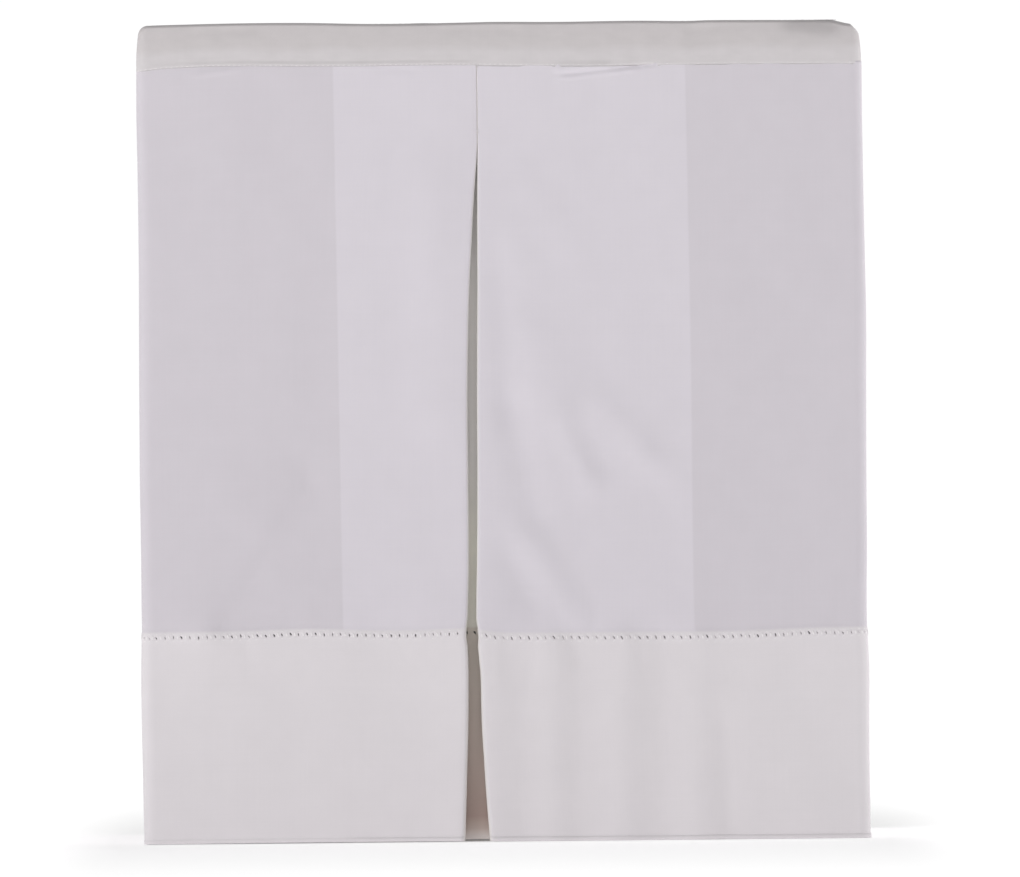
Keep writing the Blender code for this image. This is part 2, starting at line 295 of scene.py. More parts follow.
def along_table(rows: list, key: str, value: str, at: Points) -> Points:
    """A smooth curve through one column of a table.

    Args:
        rows: The table, in order of its key.
        key: The column that `at` is measured along.
        value: The column to read.
        at: Where to read it, in metres.

    Returns:
        The values there, in metres.
    """
    keys = column(rows, key)
    values = column(rows, value)
    last = len(keys) - 1
    before = np.maximum(np.arange(last + 1) - 1, 0)
    after = np.minimum(np.arange(last + 1) + 1, last)
    slopes = (values[after] - values[before]) / (keys[after] - keys[before])
    at = np.clip(np.asarray(at, float), keys[0], keys[-1])
    i = np.clip(np.searchsorted(keys, at, side="right") - 1, 0, last - 1)
    step = keys[i + 1] - keys[i]
    t = (at - keys[i]) / step
    return (
        values[i] * (2 * t**3 - 3 * t**2 + 1)
        + values[i + 1] * (3 * t**2 - 2 * t**3)
        + step * slopes[i] * (t**3 - 2 * t**2 + t)
        + step * slopes[i + 1] * (t**3 - t**2)
    )


def fold_relief(folds: list[FoldRow], across: Points, height: Points) -> Points:
    """How far the soft folds lift the cloth at places on its face.

    Args:
        folds: The folds.
        across: Places across the face, in metres.
        height: Places up the face, in metres.

    Returns:
        The lift at each place, in metres.
    """
    lift = np.zeros(np.broadcast(across, height).shape)
    for fold in folds:
        start_x, start_z = fold.across * MM, fold.height * MM
        run_x, run_z = fold.low_across * MM - start_x, fold.low_height * MM - start_z
        share = ((across - start_x) * run_x + (height - start_z) * run_z) / (run_x**2 + run_z**2)
        share = np.clip(share, 0.0, 1.0)
        away_x = across - start_x - share * run_x
        away_z = height - start_z - share * run_z
        lift = lift + fold.rise * MM * np.exp(-(away_x**2 + away_z**2) / (fold.spread * MM) ** 2)
    return lift


def soft_waves(across: Points, height: Points, seed: int, wavelength: float, rise: float) -> Points:
    """A slow, uneven ripple over a hanging cloth, from a few seeded waves.

    Args:
        across: Places across the cloth, in metres.
        height: Places up the cloth, in metres.
        seed: The seed of the waves' directions and phases.
        wavelength: The middle wavelength, in metres.
        rise: The size of the ripple, in metres.

    Returns:
        The lift at each place, in metres.
    """
    waves = 7
    rng = np.random.RandomState(seed)
    lift = np.zeros(np.broadcast(across, height).shape)
    for _ in range(waves):
        angle = rng.uniform(-0.7, 0.7)
        length = wavelength * rng.uniform(0.6, 1.6)
        phase = rng.uniform(0.0, 2 * pi)
        lift = lift + np.sin((across * cos(angle) + height * sin(angle)) * 2 * pi / length + phase)
    return lift * rise / waves


@dataclass(frozen=True)
class Line:
    """A straight stretch of a plan, whose ends may be arrays over height."""

    start: tuple
    end: tuple

    def at(self, share: Points) -> tuple[Points, Points]:
        """The point at a share of its length."""
        return tuple(a + (b - a) * share for a, b in zip(self.start, self.end))


@dataclass(frozen=True)
class Arc:
    """A round stretch of a plan, whose centre and radius may be arrays over height."""

    centre: tuple
    radius: Points
    start: float
    turn: float

    def at(self, share: Points) -> tuple[Points, Points]:
        """The point at a share of its turn."""
        angle = self.start + self.turn * share
        return (self.centre[0] + self.radius * np.cos(angle), self.centre[1] + self.radius * np.sin(angle))


class Stretch(NamedTuple):
    """A stretch of the drop's plan: its name, layer and strips, and whether holes show along it."""

    name: str
    layer: Layer
    strips: int
    holes: bool


@dataclass(frozen=True)
class SkirtPlan:
    """The sizes that the band and the drop share, and the surfaces that they hang in."""

    half_width: float = 180.55 * MM
    front: float = -103.25 * MM
    back: float = 104.8 * MM
    top: float = 408.55 * MM
    corner_radius: float = 5.2 * MM
    pleat_middle: float = -11.0 * MM
    underlay_depth: float = 4.5 * MM
    underlay_relief: float = 0.15
    underlay_hem: float = 1.2 * MM
    underlay_stitch: float = 104.3 * MM
    underlay_seam: float = 387.2 * MM
    stitch_level: float = 102.5 * MM
    seam_level: float = 387.5 * MM

    @property
    def inner(self) -> float:
        """Half the width between the corners' centres."""
        return self.half_width - self.corner_radius

    @property
    def turn_in(self) -> float:
        """How far back the corners' centres are."""
        return self.front + self.corner_radius

    def outward(self, across: Points, deep: Points) -> tuple[Points, Points]:
        """The way the cloth faces in plan: left, right, front, or between them at a corner.

        Args:
            across: Places across the plan, in metres.
            deep: Places from front to back on it, in metres.

        Returns:
            The two parts of the direction, each of them at most 1.
        """
        side = np.where(across > 0, 1.0, -1.0)
        angle = np.arctan2(deep - self.turn_in, np.abs(across) - self.inner)
        on_side = deep > self.turn_in
        on_front = np.abs(across) < self.inner
        out_x = np.where(on_side, side, np.where(on_front, 0.0, np.cos(angle) * side))
        out_y = np.where(on_side, 0.0, np.where(on_front, -1.0, np.sin(angle)))
        return out_x, out_y

    def band_plan(self) -> dict[str, Line | Arc]:
        """The path of the band round the block.

        Returns:
            The stretches by their names, from the left rear to the right rear.
        """
        width, inner, turn_in = self.half_width, self.inner, self.turn_in
        return {
            "left side": Line((-width, self.back), (-width, turn_in)),
            "left corner": Arc((-inner, turn_in), self.corner_radius, pi, pi / 2),
            "front": Line((-inner, self.front), (inner, self.front)),
            "right corner": Arc((inner, turn_in), self.corner_radius, -pi / 2, pi / 2),
            "right side": Line((width, turn_in), (width, self.back)),
        }

    def drop_plan(self, level: Points, thick: Points) -> dict[str, Line | Arc]:
        """The level cut of the drop at each height, by the names of its stretches.

        Args:
            level: Heights, in metres.
            thick: The cloth's thickness at each height, in metres.

        Returns:
            The stretches, from the left rear to the right rear.
        """
        front = along_table(SLIT, "height", "front_space", level) / 2
        back = along_table(SLIT, "height", "back_space", level) / 2
        left = self.pleat_middle + along_table(SLIT, "height", "left", level) - thick / 2 - front
        right = self.pleat_middle + along_table(SLIT, "height", "right", level) + thick / 2 + front
        left_return = along_table(RETURNS, "height", "left", level) + back
        right_return = along_table(RETURNS, "height", "right", level) - back
        middle = self.front + 2 * front
        under = middle + 2 * back
        sides = self.band_plan()
        return {
            "left side": sides["left side"],
            "left corner": sides["left corner"],
            "left front": Line((-self.inner, self.front), (left, self.front)),
            "left fold": Arc((left, self.front + front), front, -pi / 2, pi),
            "left return": Line((left, middle), (left_return, middle)),
            "left return fold": Arc((left_return, middle + back), back, -pi / 2, -pi),
            "underlay": Line((left_return, under), (right_return, under)),
            "right return fold": Arc((right_return, middle + back), back, pi / 2, -pi),
            "right return": Line((right_return, middle), (right, middle)),
            "right fold": Arc((right, self.front + front), front, pi / 2, pi),
            "right front": Line((right, self.front), (self.inner, self.front)),
            "right corner": sides["right corner"],
            "right side": sides["right side"],
        }

    def line_height(self, line: str, across: Points, behind: Points) -> Points:
        """The height of a line across the drop, on the front or on a layer behind it.

        Args:
            line: The line: hem, stitch or seam.
            across: Places across the front, in metres.
            behind: How far each place is from the front to the underlay, from 0 to 1.

        Returns:
            The height at each place, in metres.
        """
        hidden = {"hem": self.underlay_hem, "stitch": self.underlay_stitch, "seam": self.underlay_seam}
        shown = along_table(FRONT_LINES, "across", line, across)
        return shown + (hidden[line] - shown) * behind

    def height(self, level: Points, across: Points, behind: Points) -> Points:
        """The real height of a level of the flat cloth, between the uneven lines across it.

        Args:
            level: Heights on the flat cloth, in metres.
            across: Places across the front, in metres.
            behind: How far each place is from the front to the underlay, from 0 to 1.

        Returns:
            The height at each place, in metres.
        """
        hem = self.line_height("hem", across, behind)
        stitch = self.line_height("stitch", across, behind)
        seam = self.line_height("seam", across, behind)
        low = hem + (stitch - hem) * level / self.stitch_level
        high = stitch + (seam - stitch) * (level - self.stitch_level) / (self.seam_level - self.stitch_level)
        return np.where(level < self.stitch_level, low, high)


@dataclass(frozen=True)
class ClothFinish:
    """A plain-woven cloth: its colours in one layer, over more layers and doubled, its painted light, shade
    and highlights, and its weave.
    """

    name: str
    colour: tuple[float, float, float]
    shades: tuple[tuple[str, tuple[float, float, float]], ...] = ()
    thread: float = 0.36 * MM
    slub: float = 0.014
    mottle: float = 0.018
    mottle_size: float = 14.0 * MM
    roughness: float = 0.82
    sheen: float = 0.12
    specular: float = 0.25
    relief: float = 0.03 * MM
    relief_strength: float = 0.6
    thread_gloss: float = 0.08
    slub_width: float = 2.5
    slub_length: float = 70 * MM

    def material(self) -> bpy.types.Material:
        """The finish as a material.

        Returns:
            The material, which reads the piece's own UV map and attributes.
        """
        made = bpy.data.materials.new(self.name)
        made.use_nodes = True
        tree = made.node_tree
        shader = tree.nodes["Principled BSDF"]
        uv = tree.nodes.new("ShaderNodeUVMap")
        uv.uv_map = "cloth"
        colour = self._layered_colour(tree)
        streaks = self._streaks(tree, uv.outputs["UV"])
        mottle = self._noise(tree, uv.outputs["UV"], (1 / self.mottle_size, 1 / self.mottle_size), 3.0)
        tone = self._math(tree, "MULTIPLY_ADD", mottle, 2 * self.mottle, 1.0 - self.mottle)
        tone = self._math(tree, "MULTIPLY", tone, streaks)
        tinted = tree.nodes.new("ShaderNodeVectorMath")
        tinted.operation = "SCALE"
        tree.links.new(colour, tinted.inputs[0])
        tree.links.new(tone, tinted.inputs["Scale"])
        tree.links.new(tinted.outputs["Vector"], shader.inputs["Base Color"])
        weave = self._weave(tree, uv.outputs["UV"])
        bump = tree.nodes.new("ShaderNodeBump")
        bump.inputs["Distance"].default_value = self.relief
        bump.inputs["Strength"].default_value = self.relief_strength
        tree.links.new(weave, bump.inputs["Height"])
        tree.links.new(bump.outputs["Normal"], shader.inputs["Normal"])
        rough_low = self.roughness + self.thread_gloss / 2
        rough = self._math(tree, "MULTIPLY_ADD", weave, -self.thread_gloss, rough_low)
        tree.links.new(rough, shader.inputs["Roughness"])
        shader.inputs["Sheen Weight"].default_value = self.sheen
        shader.inputs["Specular IOR Level"].default_value = self.specular
        return made

    def _layered_colour(self, tree: bpy.types.NodeTree) -> bpy.types.NodeSocket:
        """The colour after each shade of the piece, such as where more layers lie behind it, or a painted
        light, shade or highlight.

        Args:
            tree: The material's tree.

        Returns:
            The colour.
        """
        plain = tree.nodes.new("ShaderNodeRGB")
        plain.outputs[0].default_value = (*self.colour, 1.0)
        result = plain.outputs[0]
        for name, colour in self.shades:
            share = tree.nodes.new("ShaderNodeAttribute")
            share.attribute_name = name
            mix = tree.nodes.new("ShaderNodeMix")
            mix.data_type = "RGBA"
            tree.links.new(result, mix.inputs[MixPlace.FIRST_COLOUR])
            mix.inputs[MixPlace.SECOND_COLOUR].default_value = (*colour, 1.0)
            tree.links.new(share.outputs["Fac"], mix.inputs[MixPlace.SHARE])
            result = mix.outputs[MixPlace.COLOUR]
        return result

    @staticmethod
    def _math(
        tree: bpy.types.NodeTree, operation: str, first: object, second: object, third: object = None
    ) -> bpy.types.NodeSocket:
        """A Math node over sockets or numbers.

        Args:
            tree: The material's tree.
            operation: What it works out.
            first: The first socket or number.
            second: The second, where it has one.
            third: The third, where it has one.

        Returns:
            The result.
        """
        node = tree.nodes.new("ShaderNodeMath")
        node.operation = operation
        for place, value in enumerate((first, second, third)):
            if isinstance(value, bpy.types.NodeSocket):
                tree.links.new(value, node.inputs[place])
            elif value is not None:
                node.inputs[place].default_value = value
        return node.outputs[0]

    def _noise(
        self, tree: bpy.types.NodeTree, where: bpy.types.NodeSocket, scale: tuple[float, float], detail: float
    ) -> bpy.types.NodeSocket:
        """Noise whose grains are stretched along the cloth.

        Args:
            tree: The material's tree.
            where: The place on the cloth.
            scale: The grains for each metre, across the cloth and up it.
            detail: The number of finer layers.

        Returns:
            The noise, from 0 to 1.
        """
        mapping = tree.nodes.new("ShaderNodeMapping")
        mapping.inputs["Scale"].default_value = (scale[0], scale[1], 1.0)
        tree.links.new(where, mapping.inputs["Vector"])
        noise = tree.nodes.new("ShaderNodeTexNoise")
        noise.noise_dimensions = "2D"
        noise.inputs["Scale"].default_value = 1.0
        noise.inputs["Detail"].default_value = detail
        tree.links.new(mapping.outputs["Vector"], noise.inputs["Vector"])
        return noise.outputs["Fac"]

    def _streaks(self, tree: bpy.types.NodeTree, where: bpy.types.NodeSocket) -> bpy.types.NodeSocket:
        """Thicker and thinner threads.

        Args:
            tree: The material's tree.
            where: The place on the cloth.

        Returns:
            A tone about 1.
        """
        across = 1 / (self.slub_width * self.thread)
        along = 1 / self.slub_length
        warp = self._noise(tree, where, (across, along), 1.0)
        weft = self._noise(tree, where, (along, across), 1.0)
        both = self._math(tree, "ADD", warp, weft)
        return self._math(tree, "MULTIPLY_ADD", both, self.slub, 1.0 - self.slub)

    def _weave(self, tree: bpy.types.NodeTree, where: bpy.types.NodeSocket) -> bpy.types.NodeSocket:
        """The over and under of a plain weave.

        Args:
            tree: The material's tree.
            where: The place on the cloth.

        Returns:
            A height from 0 to 1.
        """
        split = tree.nodes.new("ShaderNodeSeparateXYZ")
        tree.links.new(where, split.inputs["Vector"])
        turns = pi / self.thread
        waves = [
            self._math(tree, "SINE", self._math(tree, "MULTIPLY", split.outputs[axis], turns), None)
            for axis in ("X", "Y")
        ]
        crossing = self._math(tree, "MULTIPLY", *waves)
        return self._math(tree, "MULTIPLY_ADD", crossing, 0.5, 0.5)


@dataclass(frozen=True)
class ThreadFinish:
    """Sewing thread: a twisted, slightly glossy cotton."""

    name: str
    colour: tuple[float, float, float]
    twist: float = 0.5 * MM
    relief: float = 0.05 * MM
    roughness: float = 0.6
    shade: float = 0.88

    def material(self) -> bpy.types.Material:
        """The finish as a material.

        Returns:
            The material, with a twist along the stitches.
        """
        made = bpy.data.materials.new(self.name)
        made.use_nodes = True
        tree = made.node_tree
        shader = tree.nodes["Principled BSDF"]
        where = tree.nodes.new("ShaderNodeTexCoord")
        noise = tree.nodes.new("ShaderNodeTexNoise")
        noise.inputs["Scale"].default_value = 1 / self.twist
        noise.inputs["Detail"].default_value = 1.0
        tree.links.new(where.outputs["Object"], noise.inputs["Vector"])
        ramp = tree.nodes.new("ShaderNodeMix")
        ramp.data_type = "RGBA"
        ramp.inputs[MixPlace.FIRST_COLOUR].default_value = (*(self.shade * part for part in self.colour), 1.0)
        ramp.inputs[MixPlace.SECOND_COLOUR].default_value = (*self.colour, 1.0)
        tree.links.new(noise.outputs["Fac"], ramp.inputs[MixPlace.SHARE])
        tree.links.new(ramp.outputs[MixPlace.COLOUR], shader.inputs["Base Color"])
        bump = tree.nodes.new("ShaderNodeBump")
        bump.inputs["Distance"].default_value = self.relief
        tree.links.new(noise.outputs["Fac"], bump.inputs["Height"])
        tree.links.new(bump.outputs["Normal"], shader.inputs["Normal"])
        shader.inputs["Roughness"].default_value = self.roughness
        return made


class Finishes:
    """Every finish of the skirt and its block, each made once."""

    def __init__(self) -> None:
        """Makes the finishes."""
        self.face = ClothFinish(
            "face_cloth",
            (0.606, 0.570, 0.611),
            shades=(
                ("layers", (0.650, 0.614, 0.660)),
                ("hems", (0.688, 0.653, 0.675)),
                # painted light: a lighter, warmer tone on the pleat's inner layers, seen through the slit
                ("inside", (0.93, 0.905, 0.83)),
                # painted shade: a dark brown on the inner layers' hem inside the slit
                ("inside_hems", (0.408, 0.303, 0.27)),
                # painted highlight along the slit's fold edges
                ("rims", (0.76, 0.73, 0.72)),
            ),
        ).material()
        self.band = ClothFinish(
            "band_cloth",
            (0.562, 0.530, 0.536),
            shades=(("layers", (0.600, 0.570, 0.581)),),
            mottle=0.04,
            mottle_size=9.0 * MM,
        ).material()
        self.deck = ClothFinish("deck_cloth", (0.80, 0.79, 0.775), thread=0.5 * MM).material()
        self.block = ClothFinish(
            "block_cover",
            (0.50, 0.485, 0.475),
            thread=1.1 * MM,
            slub=0.12,
            relief=0.15 * MM,
            roughness=0.9,
        ).material()
        self.thread = ThreadFinish("sewing_thread", (0.82, 0.79, 0.80)).material()


def mesh_object(name: str, mesh: bpy.types.Mesh) -> bpy.types.Object:
    """Puts a mesh in the scene.

    Args:
        name: The piece's name.
        mesh: The mesh.

    Returns:
        A new object at the origin that holds it.
    """
    made = bpy.data.objects.new(name, mesh)
    bpy.context.scene.collection.objects.link(made)
    return made


def cloth_mesh(name: str, points: Points, material: bpy.types.Material) -> bpy.types.Mesh:
    """A smooth open mesh over a grid of points.

    Args:
        name: Its name.
        points: The points, by column, row and axis.
        material: Its material.

    Returns:
        The mesh.
    """
    columns, rows = points.shape[:2]
    faces = [
        (c * rows + r, (c + 1) * rows + r, (c + 1) * rows + r + 1, c * rows + r + 1)
        for c in range(columns - 1)
        for r in range(rows - 1)
    ]
    mesh = bpy.data.meshes.new(name)
    mesh.from_pydata(points.reshape(-1, 3).tolist(), [], faces)
    mesh.shade_smooth()
    mesh.materials.append(material)
    return mesh


def add_point_values(mesh: bpy.types.Mesh, name: str, values: Points) -> None:
    """Stores one number for each vertex of a mesh."""
    made = mesh.attributes.new(name, "FLOAT", "POINT")
    made.data.foreach_set("value", np.asarray(values, np.float32))


def add_cloth_uv(mesh: bpy.types.Mesh, along: Points, up: Points) -> None:
    """Gives a mesh a UV map in metres of flat cloth.

    Args:
        mesh: The mesh.
        along: The place of each vertex along the cloth, in metres.
        up: Its place up the cloth, in metres.
    """
    corners = np.zeros(len(mesh.loops), np.int32)
    mesh.loops.foreach_get("vertex_index", corners)
    pairs = np.stack([along[corners], up[corners]], axis=1)
    mesh.uv_layers.new(name="cloth").data.foreach_set("uv", pairs.astype(np.float32).ravel())


def thicken(cloth: bpy.types.Object, thickness: float, doubled: str = "", thin: float = 1.0) -> None:
    """Gives an open cloth its thickness, half to each side.

    Args:
        cloth: The object.
        thickness: The thickness where it is doubled, or everywhere, in metres.
        doubled: The name of an attribute that says where it is doubled.
        thin: The share of the thickness elsewhere.
    """
    shell = cloth.modifiers.new("thickness", "SOLIDIFY")
    shell.thickness = thickness
    shell.offset = 0.0
    shell.use_even_offset = True
    if doubled:
        share = np.zeros(len(cloth.data.vertices), np.float32)
        cloth.data.attributes[doubled].data.foreach_get("value", share)
        group = cloth.vertex_groups.new(name=doubled)
        group.add(np.nonzero(share > 0.5)[0].tolist(), 1.0, "REPLACE")
        shell.vertex_group = group.name
        shell.thickness_vertex_group = thin


class TreeBuilder:
    """A small geometry tree with named inputs."""

    def __init__(self, name: str) -> None:
        """Starts a tree with a geometry input and output.

        Args:
            name: The tree's name.
        """
        self.tree = bpy.data.node_groups.new(name, "GeometryNodeTree")
        self.tree.interface.new_socket(name="Geometry", in_out="INPUT", socket_type="NodeSocketGeometry")
        self.tree.interface.new_socket(name="Geometry", in_out="OUTPUT", socket_type="NodeSocketGeometry")
        self.start = self.tree.nodes.new("NodeGroupInput")
        self.end = self.tree.nodes.new("NodeGroupOutput")

    def input(self, name: str, kind: str) -> str:
        """Adds a named input and returns its identifier."""
        return self.tree.interface.new_socket(name=name, in_out="INPUT", socket_type=kind).identifier

    def node(self, kind: str, inputs: dict, **settings: object) -> bpy.types.Node:
        """Adds a node.

        Args:
            kind: The node's type.
            inputs: By name or number of an input, the socket that feeds it or its value.
            settings: Properties of the node.

        Returns:
            The node.
        """
        made = self.tree.nodes.new(kind)
        for name, value in settings.items():
            setattr(made, name, value)
        for place, value in inputs.items():
            if isinstance(value, bpy.types.NodeSocket):
                self.tree.links.new(value, made.inputs[place])
            else:
                made.inputs[place].default_value = value
        return made

    def finish(self, geometry: bpy.types.NodeSocket, material: str) -> None:
        """Ends the tree with real meshes that hold their material.

        Args:
            geometry: What the tree has made.
            material: The name of the input that gives the material.
        """
        real = self.node("GeometryNodeRealizeInstances", {"Geometry": geometry})
        dressed = self.node(
            "GeometryNodeSetMaterial", {"Geometry": real.outputs[0], "Material": self.start.outputs[material]}
        )
        self.tree.links.new(dressed.outputs[0], self.end.inputs[0])


def apply_tree(guide: bpy.types.Object, tree: TreeBuilder, values: dict[str, object]) -> bpy.types.Object:
    """Runs a geometry tree on an object and keeps the result as a plain mesh.

    Args:
        guide: The object that the tree works on, which is removed.
        tree: The tree.
        values: The value of each input, by its identifier.

    Returns:
        A new object of the same name.
    """
    name = guide.name
    modifier = guide.modifiers.new("made by rule", "NODES")
    modifier.node_group = tree.tree
    for identifier, value in values.items():
        modifier[identifier] = value
    ready = guide.evaluated_get(bpy.context.evaluated_depsgraph_get())
    mesh = bpy.data.meshes.new_from_object(ready)
    guide.modifiers.clear()
    bpy.data.objects.remove(guide)
    mesh.name = name
    return mesh_object(name, mesh)


class StitchRows:
    """Rows of small thread stitches that lie on a path, each an oval bead turned to the cloth."""

    SIDES = 6
    RINGS = 5
    SMALLEST = 0.8
    LARGEST = 1.15

    def __init__(self, material: bpy.types.Material) -> None:
        """Makes the tree that every row shares.

        Args:
            material: The thread's material.
        """
        self.material = material
        self.builder = TreeBuilder("stitches along a path")
        add = self.builder.input
        self.size = add("Stitch Size", "NodeSocketVector")
        self.pitch = add("Pitch", "NodeSocketFloat")
        self.lean = add("Lean", "NodeSocketFloat")
        self.jitter = add("Jitter", "NodeSocketFloat")
        self.seed = add("Seed", "NodeSocketInt")
        self.own_points = add("One At Each Point", "NodeSocketBool")
        self.thread = add("Material", "NodeSocketMaterial")
        self._build()

    def _build(self) -> None:
        """Lays out the tree: path, places, turned beads, real mesh."""
        node, given = self.builder.node, self.builder.start.outputs
        path = node("GeometryNodeMeshToCurve", {"Mesh": given["Geometry"]})
        even = node(
            "GeometryNodeResampleCurve", {"Curve": path.outputs[0], "Length": given["Pitch"]}, mode="LENGTH"
        )
        places = node(
            "GeometryNodeSwitch",
            {0: given["One At Each Point"], 1: even.outputs[0], 2: path.outputs[0]},
            input_type="GEOMETRY",
        )
        facing = node("GeometryNodeInputNamedAttribute", {"Name": "outward"}, data_type="FLOAT_VECTOR")
        tangent = node("GeometryNodeInputTangent", {})
        upright = node("FunctionNodeAlignRotationToVector", {"Vector": facing.outputs[0]}, axis="Z")
        turned = node(
            "FunctionNodeAlignRotationToVector",
            {"Rotation": upright.outputs[0], "Vector": tangent.outputs[0]},
            axis="X",
            pivot_axis="Z",
        )
        spare = node("ShaderNodeMath", {0: given["Jitter"], 1: -1.0}, operation="MULTIPLY")
        swing = node(
            "FunctionNodeRandomValue", {2: spare.outputs[0], 3: given["Jitter"], "Seed": given["Seed"]}
        )
        angle = node("ShaderNodeMath", {0: given["Lean"], 1: swing.outputs[1]}, operation="ADD")
        leaning = node(
            "FunctionNodeAxisAngleToRotation", {"Axis": (0.0, 0.0, 1.0), "Angle": angle.outputs[0]}
        )
        final = node(
            "FunctionNodeRotateRotation",
            {"Rotation": turned.outputs[0], "Rotate By": leaning.outputs[0]},
            rotation_space="LOCAL",
        )
        bead = node(
            "GeometryNodeMeshUVSphere", {"Segments": self.SIDES, "Rings": self.RINGS, "Radius": 0.5}
        )
        sized = node("GeometryNodeTransform", {"Geometry": bead.outputs[0], "Scale": given["Stitch Size"]})
        smooth = node("GeometryNodeSetShadeSmooth", {"Geometry": sized.outputs[0]})
        grow = node("FunctionNodeRandomValue", {2: self.SMALLEST, 3: self.LARGEST, "Seed": given["Seed"]})
        beads = node(
            "GeometryNodeInstanceOnPoints",
            {
                "Points": places.outputs[0],
                "Instance": smooth.outputs[0],
                "Rotation": final.outputs[0],
                "Scale": grow.outputs[1],
            },
        )
        self.builder.finish(beads.outputs[0], "Material")

    def sew(
        self,
        name: str,
        paths: list[tuple[Points, Points]],
        size: tuple[float, float, float],
        pitch: float = 0.0,
        lean: float = 0.0,
        jitter: float = 0.0,
        seed: int = 1,
    ) -> bpy.types.Object:
        """Sews stitches along paths.

        Args:
            name: The piece's name.
            paths: For each path, its points and the way the cloth faces at each, as N by 3 arrays.
            size: A stitch's length, width and height, in metres.
            pitch: The spacing of the stitches in metres, or 0 for one at each point of a path.
            lean: How far a stitch turns from the path, in radians.
            jitter: How far that varies, in radians.
            seed: The seed of what varies.

        Returns:
            The stitches, as one plain mesh.
        """
        points = np.concatenate([path for path, facing in paths])
        facing = np.concatenate([facing for path, facing in paths])
        edges = []
        first = 0
        for path, _ in paths:
            edges += [(first + k, first + k + 1) for k in range(len(path) - 1)]
            first += len(path)
        mesh = bpy.data.meshes.new(name)
        mesh.from_pydata(points.tolist(), edges, [])
        outward = mesh.attributes.new("outward", "FLOAT_VECTOR", "POINT")
        outward.data.foreach_set("vector", facing.astype(np.float32).ravel())
        values = {
            self.size: size,
            self.pitch: pitch or MM,
            self.own_points: pitch == 0.0,
            self.lean: lean,
            self.jitter: jitter,
            self.seed: seed,
            self.thread: self.material,
        }
        return apply_tree(mesh_object(name, mesh), self.builder, values)


def along_lines(corners: list[tuple[float, float]], steps: int) -> Points:
    """Evenly spaced places along the straight lines between corners.

    Args:
        corners: The corners, as pairs in metres.
        steps: The number of places on each line, the last corner left out.

    Returns:
        The places, as pairs in metres.
    """
    share = np.linspace(0.0, 1.0, steps + 1)[:-1, None]
    sides = [(np.array(a), np.array(b)) for a, b in zip(corners, corners[1:])]
    return np.concatenate([a + (b - a) * share for a, b in sides])


